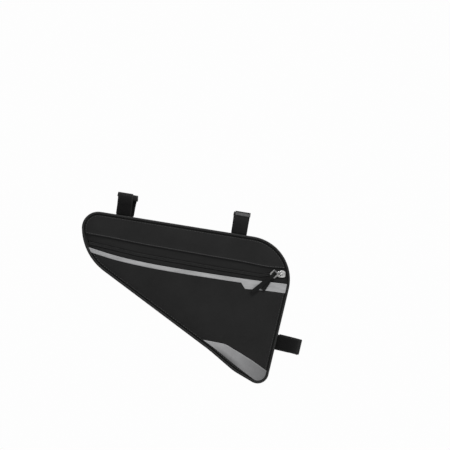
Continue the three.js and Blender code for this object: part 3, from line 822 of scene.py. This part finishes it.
def hook_and_loop(name, pile_tones, end_tone):
    """Brushed pile between two selvedges, with a smoother end of end_tone where u is near nought; the rear
    strap's light end tone is a painted highlight.
    """
    pile = Finish(name)
    edge = pile.spread(pile.maths("ABSOLUTE", pile.axis(1)), 0.0, 1.0, *PILE_EDGE)
    tufts = pile.speckle(0.0007, detail=4, roughness=0.7)
    clumps = pile.speckle(0.004, detail=3)
    selvedge = pile.threads(0, 0.0009)
    fur = pile.between(tufts, *pile_tones, 0.35, 0.65)
    fur = pile.blend(0.5, fur, pile.between(clumps, 0.6, 1.35), "MULTIPLY")
    tone = pile.blend(edge, fur, pile.between(selvedge, 0.004, 0.012, 0, 1))
    end = pile.spread(pile.axis(0), 0.0, 1.0, *TAPE_END)
    tone = pile.blend(end, tone, pile.between(clumps, end_tone * 0.75, end_tone * 1.25))
    inner = pile.maths("MULTIPLY", tufts, pile.maths("SUBTRACT", 1.0, edge))
    normal = pile.bump(pile.maths("MULTIPLY_ADD", selvedge, edge, inner), 0.00035, 0.8)
    rough = pile.spread(tufts, 0.84, 0.96)
    return pile.finish(tone, rough, normal, Sheen_Weight=0.02, Sheen_Roughness=0.6, Specular_IOR_Level=0.06)


def rubbed_nickel(name, dull, bright):
    metal = Finish(name, "Object")
    scratches = metal.speckle((0.0035, 0.0002, 0.0003), detail=3)
    smear = metal.speckle(0.005, detail=3)
    tone = metal.between(smear, (dull, dull, dull * 1.02), (bright, bright * 0.99, bright * 0.97), 0.38, 0.62)
    rough = metal.spread(scratches, 0.2, 0.36, 0.3, 0.7)
    normal = metal.bump(scratches, 0.00002, 0.4)
    return metal.finish(tone, rough, normal, Metallic=1.0)


LOOKS = {
    "woven_cloth": woven_cloth(),
    "piping_tape": piping_tape(),
    "zip_tape": zip_tape_cloth(),
    "chain_nylon": coil_nylon(),
    "reflective_grey": reflective_ribbon(),
    "patch_grey": reflective_film(),
    "hook_and_loop": hook_and_loop("hook_and_loop_tape", (0.001, 0.005), 0.012),
    "pull_tape": narrow_tape(),
    "nickel": rubbed_nickel("rubbed_nickel", 0.22, 0.46),
}
THREAD = thread_finish("sewing_thread", 0.018, 0.036)
# The seam thread is lighter than the edge thread: partly a paler thread, partly a painted highlight for the
# lit fold above the zip seam
SEAM_THREAD_WITH_HIGHLIGHT = thread_finish("seam_thread_painted_highlight", 0.028, 0.052)
PALE_THREAD = thread_finish("pale_sewing_thread", 0.17, 0.25)
# The rear strap's copy paints a highlight on the end of its outer lap, where it crests the tube under the key
# light
PAINTED_HIGHLIGHT_END_TAPE = hook_and_loop("hook_and_loop_painted_highlight_end", (0.004, 0.01), 0.05)
# The pull's eye has a darker copy of the nickel, which paints the shade that it sits in
SHADED_EYE_NICKEL = rubbed_nickel("eye_nickel_painted_shade", 0.11, 0.24)


def fit(piece, slot, *nodes, body="bag", look=None):
    """Gives a piece its finish and body, and hides the CAD nodes that it stands for."""
    piece.data.materials.clear()
    piece.data.materials.append(look or LOOKS[slot])
    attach(piece, body)
    if nodes:
        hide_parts(*nodes)


# Rows of small rounded pieces, such as stitches and coil turns

BALL = {"Segments": 8, "Rings": 6, "Radius": 0.5}
LONGEST_ROW = 10.0
PATH_SPACING = 3.0


def row_tree():
    """Lays a rounded piece at every step of a path whose points carry their outward direction."""
    tree = bpy.data.node_groups.new("row_along_path", "GeometryNodeTree")
    kinds = {"Path": "Geometry", "Pitch": "Float", "Start": "Float", "Size": "Vector", "Shift": "Vector"}
    for name, kind in kinds.items():
        tree.interface.new_socket(name, in_out="INPUT", socket_type="NodeSocket" + kind)
    tree.interface.new_socket("Row", in_out="OUTPUT", socket_type="NodeSocketGeometry")

    def add(kind, inputs=(), **settings):
        return add_node(tree, kind, inputs, **settings).outputs

    given = add("NodeGroupInput")
    curve = add("GeometryNodeMeshToCurve", {"Mesh": given["Path"]})[0]
    trimmed = add("GeometryNodeTrimCurve", {0: curve, 4: given["Start"], 5: LONGEST_ROW}, mode="LENGTH")[0]
    path = add("GeometryNodeResampleCurve", {"Curve": trimmed, "Length": given["Pitch"]}, mode="LENGTH")[0]
    ball = add("GeometryNodeMeshUVSphere", BALL)["Mesh"]
    shaped = add("GeometryNodeTransform", {"Geometry": ball, "Scale": given["Size"]})[0]
    moved = add("GeometryNodeTransform", {"Geometry": shaped, "Translation": given["Shift"]})[0]
    outward = add("GeometryNodeInputNamedAttribute", {"Name": "outward"}, data_type="FLOAT_VECTOR")[0]
    axes = {"Primary Axis": add("GeometryNodeInputTangent")[0], "Secondary Axis": outward}
    turned = add("FunctionNodeAxesToRotation", axes, primary_axis="X", secondary_axis="Z")[0]
    placed = {"Points": path, "Instance": moved, "Rotation": turned}
    laid = add("GeometryNodeInstanceOnPoints", placed)[0]
    add("NodeGroupOutput", {"Row": add("GeometryNodeRealizeInstances", {"Geometry": laid})[0]})
    return tree


ROW_TREE = row_tree()


def made_mesh(carrier):
    """The mesh of an object after its modifiers."""
    carrier.update_tag()
    graph = bpy.context.evaluated_depsgraph_get()
    graph.update()
    return bpy.data.meshes.new_from_object(carrier.evaluated_get(graph))


def row_mesh(paths, pitch, size, shift=(0, 0, 0), start=0.0, closed=False):
    """Rows along several paths of (points, outward directions) as one plain mesh."""
    points = np.concatenate([path[0] for path in paths])
    outward = np.concatenate([path[1] for path in paths])
    edges = []
    first = 0
    for path in paths:
        last = first + len(path[0]) - 1
        edges += [(i, i + 1) for i in range(first, last)]
        if closed:
            edges.append((last, first))
        first = last + 1
    mesh = bpy.data.meshes.new("path")
    mesh.from_pydata((points * METRES).tolist(), edges, [])
    attribute = mesh.attributes.new("outward", "FLOAT_VECTOR", "POINT")
    attribute.data.foreach_set("vector", np.asarray(outward, np.float32).ravel())
    carrier = in_scene("path", mesh)
    modifier = carrier.modifiers.new("row", "NODES")
    modifier.node_group = ROW_TREE
    values = {"Pitch": pitch * METRES, "Start": start * METRES}
    for name, sizes in (("Size", size), ("Shift", shift)):
        values[name] = [value * METRES for value in sizes]
    for item in ROW_TREE.interface.items_tree:
        if item.in_out == "INPUT" and item.name in values:
            modifier[item.identifier] = values[item.name]
    result = made_mesh(carrier)
    bpy.data.objects.remove(carrier)
    return result


def row_piece(name, meshes):
    """One object from several row meshes."""
    points = []
    faces = []
    for mesh in meshes:
        first = len(points)
        points += [tuple(vertex.co) for vertex in mesh.vertices]
        faces += [tuple(i + first for i in face.vertices) for face in mesh.polygons]
        bpy.data.meshes.remove(mesh)
    joined = bpy.data.meshes.new(name)
    joined.from_pydata(points, [], faces)
    joined.shade_smooth()
    return in_scene(name, joined)


def face_path(places, height, side=-1):
    """A path on a face: its points and the face's outward directions there."""
    places = np.asarray(places, float)
    spans = []
    for step in ([NORMAL_STEP, 0], [0, NORMAL_STEP]):
        spans.append(face_points(places + step, height, side) - face_points(places - step, height, side))
    return face_points(places, height, side), unit(np.cross(*spans)) * -side


def line_path(line, front, rear, height):
    xs = np.linspace(front, rear, max(2, round((rear - front) / PATH_SPACING)))
    return face_path([[x, line(x)] for x in xs], height)


# Panels, tapes and trim

EDGE_TUCK = 0.8
ROLL = 0.9
FOLD_RIDGE = 0.75
ZIP_INSET = GUSSET_INSET + GUSSET_THICKNESS + 0.05
ZIP_TAPE_SPACING = 2.6
TRIM_INSET = RIM_INSET - 0.7
TRIM_BASE = 0.02
TRIM_EDGE = {"roll": 0.25, "roll_reach": 0.5}
STRIPE_SPACING = 2
PATCH_SPACING = 2.6
PATCH_STATIONS = 40
PATCH_LEAST_HEIGHT = 0.05
PATCH_REAR_REACH = 12


def panels():
    inset = RIM_INSET - EDGE_TUCK
    above = band_border(None, seam_line, inset)
    below = band_border(stripe_top_line, None, inset)
    far = OUTLINE - OUTLINE_NORMALS * inset
    fold = {"ridge": (FOLD_RIDGE, seam_line)}
    for name, node, border, shape in (
        ("cloth_above_zip", "front_panel_upper", above, fold),
        ("cloth_below_zip", "front_panel_lower", below, {}),
        ("cloth_far_side", "back_panel", far, {"side": 1}),
    ):
        fit(face_sheet(name, border, 0, -PANEL_THICKNESS, roll=ROLL, **shape), "woven_cloth", node)


def zip_tapes():
    top = TAPE_MIDDLE + TAPE_THICKNESS / 2
    low = TAPE_MIDDLE - TAPE_THICKNESS / 2
    above = band_border(shifted(seam_line, TAPE_TUCK), shifted(chain_line, TAPE_PARTING), ZIP_INSET)
    below = band_border(shifted(chain_line, -TAPE_PARTING), shifted(stripe_top_line, -TAPE_TUCK), ZIP_INSET)
    for name, node, border in (
        ("zip_tape_above", "zip_tape_upper", above),
        ("zip_tape_below", "zip_tape_lower", below),
    ):
        fit(face_sheet(name, border, top, low, spacing=ZIP_TAPE_SPACING), "zip_tape", node)


def patch_border():
    """Border of the corner patch, between its two lines and the rim."""
    front = place_along(PATCH_TOP[0][0])
    top_rear = line_ends(patch_top_line, TRIM_INSET)[1]
    low_rear = line_ends(patch_low_line, TRIM_INSET)[1]
    top = [[x, patch_top_line(x)] for x in np.linspace(front, top_rear, PATCH_STATIONS)]
    low = []
    for x in np.linspace(front, low_rear, PATCH_STATIONS):
        low.append([x, min(patch_low_line(x), patch_top_line(x) - PATCH_LEAST_HEIGHT)])
    beside = []
    for x, z in OUTLINE - OUTLINE_NORMALS * TRIM_INSET:
        between = patch_low_line(x) + LINE_MARGIN < z < patch_top_line(x) - LINE_MARGIN
        if between and x > top_rear - PATCH_REAR_REACH:
            beside.append([x, z])
    return np.array(top + beside + low[:0:-1])


def trim():
    steps = (place_along(STRIPE_STEP_START), place_along(STRIPE_STEP_END))
    stripe = band_border(stripe_top_line, stripe_low_line, TRIM_INSET, STRIPE_SPACING, steps)
    for name, slot, node, border, spacing in (
        ("reflective_ribbon", "reflective_grey", "reflective_stripe", stripe, STRIPE_SPACING),
        ("corner_film", "patch_grey", "corner_patch", patch_border(), PATCH_SPACING),
    ):
        fit(face_sheet(name, border, TRIM_THICKNESS, TRIM_BASE, spacing=spacing, **TRIM_EDGE), slot, node)


# Gusset and piping

GUSSET_STATIONS = 15
GUSSET_SAG = 0.55
SAG_EVENNESS = 0.6
SAG_SIZES = (30, 30, 22)
BEAD_RADIUS = 1.65
BEAD_STEPS = 20
BEAD_START = 210
BEAD_SWEEP = 300
FLANGE_DEPTH = 5.2
FLANGE_ROOT = 3.35
FLANGE_THICKNESS = 0.3


def sweep_round(name, section, sag_depth=0.0):
    """Sweeps a section of (depth, y) right round the bag, with a sag in its middle."""
    rings = []
    for place, normal in zip(OUTLINE, OUTLINE_NORMALS):
        ring = []
        for depth, y in section:
            middle = max(0, 1 - (y / GUSSET_HALF_WIDTH) ** 2)
            wave = noise.noise(Vector([value / size for value, size in zip((*place, y), SAG_SIZES)]))
            x, z = place - normal * (depth + sag_depth * middle * (SAG_EVENNESS + wave))
            ring.append((x, y, z))
        rings.append(ring)
    round_it = run_of(np.asarray(section, float), closed=True)
    return loft_piece(name, np.array(rings), OUTLINE_RUN, round_it, closed=True)


def gusset():
    across = np.linspace(-GUSSET_HALF_WIDTH, GUSSET_HALF_WIDTH, GUSSET_STATIONS)
    outer = [(GUSSET_INSET, y) for y in across]
    inner = [(GUSSET_INSET + GUSSET_THICKNESS, y) for y in across[::-1]]
    fit(sweep_round("cloth_gusset", outer + inner, GUSSET_SAG), "woven_cloth", "gusset")


def bead_section():
    """Section of a corded bead and of the flange that it is sewn in by, as (depth, y)."""
    points = []
    for i in range(BEAD_STEPS + 1):
        angle = math.radians(BEAD_START - BEAD_SWEEP * i / BEAD_STEPS)
        y = BAG_WIDTH / 2 + BEAD_RADIUS * math.sin(angle)
        points.append((BEAD_RADIUS * (1 - math.cos(angle)), y))
    middle = GUSSET_HALF_WIDTH + GUSSET_SEAM_GAP / 2
    low = middle - FLANGE_THICKNESS / 2
    high = middle + FLANGE_THICKNESS / 2
    return points + [(FLANGE_ROOT, low), (FLANGE_DEPTH, low), (FLANGE_DEPTH, high), (FLANGE_ROOT, high)]


def piping(name, node, side):
    section = [(depth, side * y) for depth, y in bead_section()]
    fit(sweep_round(name, section), "piping_tape", node)


# Straps

LAP_GAP = 0.06
LAP_RAMP = 3
STRAP_ARC_STEP = 11
STRAP_FINENESS = 4
STRAP_EDGE_RADIUS = 0.42
STRAP_SELVEDGE = 0.12
STRAP_WANDER = 0.35
WANDER_STEPS = 23
WANDER_SEED = (0.5, 7)
REAR_EDGE_LEAN = 0.2

# Loop radius, drift along the loop, hand, and shares of the loop before its start and lapped after it
STRAPS = {
    "top_strap_front": (UPPER_LOOP_RADIUS, -6.7, 1, 0.14, 0.12),
    "top_strap_rear": (UPPER_LOOP_RADIUS, 2, -1, 0.12, 0.12),
    "seat_strap": (REAR_LOOP_RADIUS, -1, 1, -0.04, 0.26),
}


def strap_path(loop_radius, drift, hand, lead, tail):
    """Middle line and outward directions of a strap round a loop, before it is set in place."""
    reach = loop_radius + GAP + STRAP_THICKNESS / 2
    corners = [
        (reach, reach, reach),
        (reach, -reach, STRAP_CORNER_RADIUS),
        (-reach, -reach, STRAP_CORNER_RADIUS),
        (-reach, reach, reach),
    ]
    places, normals = round_corners(corners, STRAP_ARC_STEP)
    count = len(places)
    near_turn = 0.75 if hand > 0 else 0.25
    first = -math.floor(lead * count + 0.5)
    last = count + math.floor(tail * count + 0.5)
    points = []
    outward = []
    for i in range(first, last + 1):
        normal = normals[i % count]
        lift = smooth_step(i, first + count - LAP_RAMP, first + count - 1)
        place = places[i % count] + normal * lift * (STRAP_THICKNESS + LAP_GAP)
        points.append((drift * (i / count - near_turn), hand * place[0], place[1]))
        outward.append((0, hand * normal[0], normal[1]))
    return np.array(points), np.array(outward)


def seat_loop():
    """Middle of the lower strap's loop, and its turn round the Y axis."""
    place, normal = next(
        (place, normal)
        for place, normal in zip(OUTLINE, OUTLINE_NORMALS)
        if normal[0] > 0 and abs(normal[1]) < REAR_EDGE_LEAN and place[1] < place_down(0.5)
    )
    gusset_place = place - normal * GUSSET_INSET
    rise = (place_down(REAR_LOOP_DOWN) - gusset_place[1]) / normal[0]
    centre = gusset_place + np.array([-normal[1], normal[0]]) * rise
    centre = centre + normal * (REAR_LOOP_RADIUS + STRAP_STACK)
    return (centre[0], 0, centre[1]), math.pi / 2 - math.atan2(normal[1], normal[0])


def tape_piece(name, points, outward, across, widths, thickness, radius, selvedge=0.0):
    """A tape along a path, with its section drawn across and outward at each point."""
    rings = []
    for point, out, side, width in zip(points, outward, across, widths):
        shape = rounded_section(width, thickness, radius, selvedge)
        rings.append([point + side * a + out * b for a, b in shape])
    shape = rounded_section(widths[0], thickness, radius, selvedge)
    vs = list(shape[:, 0]) + [shape[0, 0]]
    run = run_of(points)
    return loft_piece(name, np.array(rings), run[-1] - run, vs, sharp=60)


def straps():
    loops = {
        "top_strap_front": ((-STRAP_SPACING / 2, 0, 0), 0),
        "top_strap_rear": ((STRAP_SPACING / 2, 0, 0), 0),
        "seat_strap": seat_loop(),
    }
    section = (STRAP_THICKNESS, STRAP_EDGE_RADIUS, STRAP_SELVEDGE)
    for node, settings in STRAPS.items():
        points, outward = strap_path(*settings)
        points = finer(points, STRAP_FINENESS)
        outward = unit(finer(outward, STRAP_FINENESS))
        wander = [noise.noise(Vector((i / WANDER_STEPS, *WANDER_SEED))) for i in range(len(points))]
        widths = STRAP_WIDTH + STRAP_WANDER * np.array(wander)
        across = np.tile([1.0, 0, 0], (len(points), 1))
        piece = tape_piece(node + "_tape", points, outward, across, widths, *section)
        centre, turn = loops[node]
        piece.data.transform(Matrix.Translation(Vector(centre) * METRES) @ Matrix.Rotation(turn, 4, "Y"))
        # The rear strap's light end is a painted highlight
        fit(piece, "hook_and_loop", node, look=PAINTED_HIGHLIGHT_END_TAPE if node == "top_strap_rear" else None)


# Zip chain, slider and pull

COIL_PITCH = 1.15
COIL_TURN = (1.1, 2.75, 1.5)
COIL_ROW_OUT = 0.98
COIL_ROW_RISE = 0.32
CHAIN_STATIONS = 90
CHAIN_TUCK = 0.9
CHAIN_SHOULDER = 0.7
CHAIN_EDGE = 0.5
CHAIN_CREST = 0.1
MOUTH_GAP = 0.5
HALF_RISE = 0.6
HALF_OVERLAP = 5

# Rounding of the metal parts' edges
METAL_STEPS = (
    ("WELD", {"merge_threshold": 1e-6}),
    ("REMESH", {"mode": "VOXEL", "voxel_size": 0.12 * METRES}),
    ("SMOOTH", {"factor": 0.5, "iterations": 45}),
    ("DECIMATE", {"ratio": 0.3}),
)

# Steps and edges of the pull's tape
TAIL_STEPS = 8
FOLD_STEPS = 8
PULL_FINENESS = 3
PULL_EDGE_RADIUS = 0.3


def zip_chain():
    front = line_ends(chain_line, ZIP_INSET + CHAIN_TUCK)[0]
    mouth = SLIDER_X - SLIDER_LENGTH / 2 - MOUTH_GAP
    frames = [face_frame(x, chain_line, TAPE_MIDDLE) for x in np.linspace(front, mouth, CHAIN_STATIONS)]
    half = CHAIN_WIDTH / 2
    low = -CHAIN_THICKNESS / 2
    edge = low * CHAIN_EDGE
    shoulder = half * CHAIN_SHOULDER
    under = [(-half, edge), (-shoulder, low), (shoulder, low), (half, edge)]
    section = under + [(half, CHAIN_CREST), (-half, CHAIN_CREST)]
    rings = np.array([[at + across * a + out * b for a, b in section] for at, _, across, out in frames])
    vs = run_of(np.array(section), closed=True)
    pieces = [loft_piece("zip_chain_core", rings, run_of(rings[:, 0]), vs, sharp=40)]

    # Behind the slider's post the two halves stand parted
    at, run, across, out = face_frame(SLIDER_X, chain_line, TAPE_MIDDLE)
    inner = POST_WIDTH / 2 + GAP
    start = SLIDER_LENGTH / 2 - HALF_OVERLAP - POST_LENGTH
    end = SLIDER_LENGTH / 2 + SLIDER_BACK_OFF - GAP
    for side in (-1, 1):
        shape = [(inner, low), (half, edge), (half, HALF_RISE), (inner, HALF_RISE)]
        ring = [[at + run * u + across * side * a + out * b for a, b in shape] for u in (start, end)]
        pieces.append(loft_piece("half", np.array(ring), [0, end - start], range(5), sharp=40))
    fit(join(pieces), "chain_nylon", "zip_chain")

    path = (np.array([frame[0] for frame in frames]), np.array([frame[3] for frame in frames]))
    rows = []
    for side, start in ((-1, 0), (1, COIL_PITCH / 2)):
        rows.append(row_mesh([path], COIL_PITCH, COIL_TURN, (0, side * COIL_ROW_OUT, COIL_ROW_RISE), start))
    fit(row_piece("zip_coil", rows), "chain_nylon")


def join(pieces):
    """Joins mesh objects into the first one, which keeps its name."""
    first = pieces[0]
    with bpy.context.temp_override(
        active_object=first, object=first, selected_objects=pieces, selected_editable_objects=pieces
    ):
        bpy.ops.object.join()
    return first


def metal_copy(name, node, body, look=None):
    """A CAD node's form with its edges rounded off, as on plated die-cast metal."""
    mesh = frame["nodes"][node].data.copy()
    mesh.name = name
    piece = in_scene(name, mesh)
    for kind, settings in METAL_STEPS:
        modifier = piece.modifiers.new(kind, kind)
        for setting, value in settings.items():
            setattr(modifier, setting, value)
    shaped = made_mesh(piece)
    piece.modifiers.clear()
    piece.data = shaped
    shaped.shade_smooth()
    fit(piece, "nickel", node, body=body, look=look)


def pull_tail(root, length, heading_degrees, rest, facing):
    """Stations of one tail of the pull strap, settling on the face."""
    point, across_root = root[:2]
    angle = math.radians(heading_degrees)
    heading = np.array([math.cos(angle), 0, math.sin(angle)])
    normal = np.array([0.0, -facing, 0.0])
    root_height = -point[1] - BAG_WIDTH / 2 - face_height([[point[0], point[2]]])[0]
    stations = []
    for i in range(TAIL_STEPS):
        share = (i + 1) / TAIL_STEPS
        settle = float(smooth_step(share, SETTLE_START, SETTLE_END))
        x, _, z = point + heading * share * length
        height = root_height + (rest - root_height) * settle
        place = np.array([x, -(BAG_WIDTH / 2 + face_height([[x, z]])[0] + height), z])
        across = np.cross(normal, heading) * facing
        across = across * settle + across_root * (1 - settle)
        across /= np.linalg.norm(across)
        width = FOLD_WIDTH + (PULL_WIDTH - FOLD_WIDTH) * settle
        stations.append((place, across, normal, width))
    return stations


def pull_strap():
    at, run, across_face, out = face_frame(SLIDER_X, chain_line, TAPE_MIDDLE)

    def turned(vector):
        return run * vector[0] + across_face * vector[1] + out * vector[2]

    reach = TAB_THICKNESS / 2 + GAP + PULL_THICKNESS / 2
    heading = np.array([-1, -1, 0]) / math.sqrt(2)
    across = turned(np.array([1, -1, 0]) / math.sqrt(2))
    fold_at = EYE_SIDE / 2 - EYE_RIM + FOLD_CLEARANCE
    eye = np.array([-BAR_SET_BACK - EYE_REACH, 0, BAR_CENTRE]) + heading * fold_at
    fold = []
    for i in range(FOLD_STEPS + 1):
        angle = math.pi * i / FOLD_STEPS
        normal = -heading * math.sin(angle) + np.array([0, 0, -math.cos(angle)])
        fold.append((at + turned(eye + normal * reach), across, turned(normal), FOLD_WIDTH))
    low_rest = GAP + TRIM_THICKNESS + GAP + PULL_THICKNESS / 2
    high_rest = low_rest + GAP + PULL_THICKNESS
    short = pull_tail(fold[0], PULL_SHORT_TAIL, PULL_SHORT_HEADING, low_rest, -1)[::-1]
    long = pull_tail(fold[-1], PULL_LONG_TAIL, PULL_LONG_HEADING, high_rest, 1)
    columns = zip(*(short + fold + long))
    points, sides, normals, widths = (finer(column, PULL_FINENESS) for column in columns)
    sides = unit(sides)
    normals = unit(normals - sides * (normals * sides).sum(1)[:, None])
    piece = tape_piece("pull_tape", points, normals, sides, widths, PULL_THICKNESS, PULL_EDGE_RADIUS)
    fit(piece, "pull_tape", "pull_strap", body="pull")


# Stitching

STITCH_INSET = 1.2
STITCH_RISE = 0.04
STITCH_PITCH = 3.3
STITCH_SIZE = (2.5, 0.5, 0.4)
STITCH_PATH_STEP = 1.1
ROW_END = 1
STRIPE_MARGIN = 0.6
SEAM_MARGIN = 1.6
SEAM_STITCH_SIZE = (2.8, 0.62, 0.45)
SEAM_STITCH_OFF = 1.5
SEAM_STITCH_RISE = STITCH_RISE + FOLD_RIDGE * 0.9
TRIM_STITCH_SIZE = (1.7, 0.4, 0.3)
TRIM_STITCH_PITCH = 2.4
TRIM_STITCH_RISE = TRIM_THICKNESS + 0.02
STRIPE_STITCH_OFF = 0.9
STRIPE_STITCH_STOP = 1
PATCH_STITCH_OFF = 1.1
PATCH_STITCH_START = 5


def runs_beside_zip(loop):
    """The parts of a closed loop that lie on the panels, and not over the zip."""
    over_zip = []
    for x, z in loop:
        over_zip.append(stripe_top_line(x) - STRIPE_MARGIN < z < seam_line(x) + SEAM_MARGIN)
    on_panel = ~np.array(over_zip)
    first = np.flatnonzero(on_panel & ~np.roll(on_panel, 1))[0]
    loop = np.roll(loop, -first, 0)
    on_panel = np.roll(on_panel, -first)
    breaks = np.flatnonzero(np.diff(on_panel.astype(int))) + 1
    return [part for part, kept in zip(np.split(loop, breaks), np.split(on_panel, breaks)) if kept[0]]


def edge_stitches():
    rim = divide_loop(OUTLINE - OUTLINE_NORMALS * (RIM_INSET + STITCH_INSET), STITCH_PATH_STEP)
    near_side = [face_path(run, STITCH_RISE) for run in runs_beside_zip(rim)]
    far_side = [face_path(rim, STITCH_RISE, 1)]
    rows = [row_mesh(near_side, STITCH_PITCH, STITCH_SIZE)]
    rows.append(row_mesh(far_side, STITCH_PITCH, STITCH_SIZE, closed=True))
    fit(row_piece("edge_stitches", rows), "woven_cloth", look=THREAD)


def seam_stitches():
    line = shifted(seam_line, SEAM_STITCH_OFF)
    path = line_path(line, *line_ends(line, RIM_INSET + STITCH_INSET + ROW_END), SEAM_STITCH_RISE)
    row = row_mesh([path], STITCH_PITCH, SEAM_STITCH_SIZE)
    # The lighter seam thread partly paints the highlight on the fold's edge above the seam
    fit(row_piece("zip_seam_stitches", [row]), "woven_cloth", look=SEAM_THREAD_WITH_HIGHLIGHT)


def trim_stitches():
    stripe_rear = place_along(STRIPE_STEP_START) - STRIPE_STITCH_STOP
    patch_front = place_along(PATCH_TOP[0][0]) + PATCH_STITCH_START
    rows = []
    for line, start, stop in (
        (shifted(stripe_top_line, -STRIPE_STITCH_OFF), None, None),
        (shifted(stripe_low_line, STRIPE_STITCH_OFF), None, stripe_rear),
        (shifted(patch_top_line, -PATCH_STITCH_OFF), patch_front, None),
    ):
        front, rear = line_ends(line, RIM_INSET + ROW_END)
        path = line_path(line, start or front, stop or rear, TRIM_STITCH_RISE)
        rows.append(row_mesh([path], TRIM_STITCH_PITCH, TRIM_STITCH_SIZE))
    fit(row_piece("trim_stitches", rows), "reflective_grey", look=PALE_THREAD)


# Camera and studio: PIXEL_SIZE and AXIS_PLACE are millimetres, other sizes metres

PHOTO_PIXELS = 450
PIXEL_SIZE = 1.31
ROLL_ANGLE = math.radians(9.2)
AXIS_PLACE = (57.2, -3.8)
CAMERA_DISTANCE = 6.0
CLIPPING = (0.05, 100)
SENSOR = 36.0
BACKGROUND = (0.985, 0.985, 0.985, 1)
FLOOR_COLOUR = (0.8, 0.8, 0.8, 1)
FLOOR_PLACE = (0.02, 0, -0.95)
FLOOR_RADIUS = 2.6
FLOOR_SIDES = 96
FLOOR_FADE = (0.5, 2.4)
LIT_PLACE = (0.02, 0, -0.1)

# Place, size and power of each light
LIGHTS = {
    "key": ((1.1, -2.0, 2.3), 1.4, 95.0),
    "fill": ((-1.9, -1.9, 0.5), 1.8, 9.0),
    "rim": ((0.3, 1.8, 2.2), 1.6, 26.0),
}


def camera():
    data = bpy.data.cameras.new("camera")
    data.sensor_width = SENSOR
    data.lens = SENSOR * CAMERA_DISTANCE / (PHOTO_PIXELS * PIXEL_SIZE * METRES)
    data.clip_start, data.clip_end = CLIPPING
    holder = in_scene("camera", data)
    right = Vector((math.cos(ROLL_ANGLE), 0, math.sin(ROLL_ANGLE)))
    up = Vector((-math.sin(ROLL_ANGLE), 0, math.cos(ROLL_ANGLE)))
    axes = Matrix((right, up, Vector((0, -1, 0)))).transposed().to_4x4()
    zip_side = -BAG_WIDTH / 2 * METRES
    place = Vector((AXIS_PLACE[0] * METRES, zip_side - CAMERA_DISTANCE, AXIS_PLACE[1] * METRES))
    holder.matrix_world = Matrix.Translation(place) @ axes
    bpy.context.scene.camera = holder


def floor_material():
    """Pale floor that fades into the background away from the bag."""
    material = bpy.data.materials.new("pale_floor")
    material.use_nodes = True
    tree = material.node_tree
    shader = tree.nodes["Principled BSDF"]
    shader.inputs["Base Color"].default_value = FLOOR_COLOUR
    shader.inputs["Roughness"].default_value = 0.9
    start, end = FLOOR_FADE
    place = add_node(tree, "ShaderNodeTexCoord").outputs["Object"]
    away = add_node(tree, "ShaderNodeVectorMath", {0: place}, operation="LENGTH").outputs["Value"]
    fade = add_node(tree, "ShaderNodeMapRange", {"Value": away, "From Min": start, "From Max": end})
    glow = add_node(tree, "ShaderNodeEmission", {"Color": BACKGROUND})
    sources = {0: fade.outputs["Result"], 1: shader.outputs[0], 2: glow.outputs[0]}
    mix = add_node(tree, "ShaderNodeMixShader", sources)
    tree.links.new(mix.outputs[0], tree.nodes["Material Output"].inputs["Surface"])
    return material


def studio():
    world = bpy.data.worlds.new("studio")
    world.use_nodes = True
    sky = world.node_tree.nodes["Background"]
    sky.inputs["Color"].default_value = BACKGROUND
    sky.inputs["Strength"].default_value = 1.0
    bpy.context.scene.world = world

    for name, (place, size, power) in LIGHTS.items():
        data = bpy.data.lights.new(name, "AREA")
        data.size = size
        data.energy = power
        holder = in_scene(name, data)
        holder.location = place
        holder.rotation_euler = (Vector(LIT_PLACE) - Vector(place)).to_track_quat("-Z", "Y").to_euler()

    angles = [2 * math.pi * i / FLOOR_SIDES for i in range(FLOOR_SIDES)]
    rim = [(FLOOR_RADIUS * math.cos(angle), FLOOR_RADIUS * math.sin(angle), 0) for angle in angles]
    mesh = bpy.data.meshes.new("floor")
    mesh.from_pydata(rim, [], [tuple(range(FLOOR_SIDES))])
    mesh.materials.append(floor_material())
    floor = in_scene("floor", mesh)
    floor.location = FLOOR_PLACE
    bpy.context.scene.view_settings.view_transform = "Standard"


camera()
studio()
panels()
zip_tapes()
trim()
gusset()
piping("piping_zip_side", "piping_front", -1)
piping("piping_far_side", "piping_back", 1)
straps()
zip_chain()
metal_copy("slider_body", "zip_slider", "bag")
# The eye's darker nickel is painted shade
metal_copy("slider_pull_eye", "pull_tab", "pull", SHADED_EYE_NICKEL)
pull_strap()
edge_stitches()
seam_stitches()
trim_stitches()
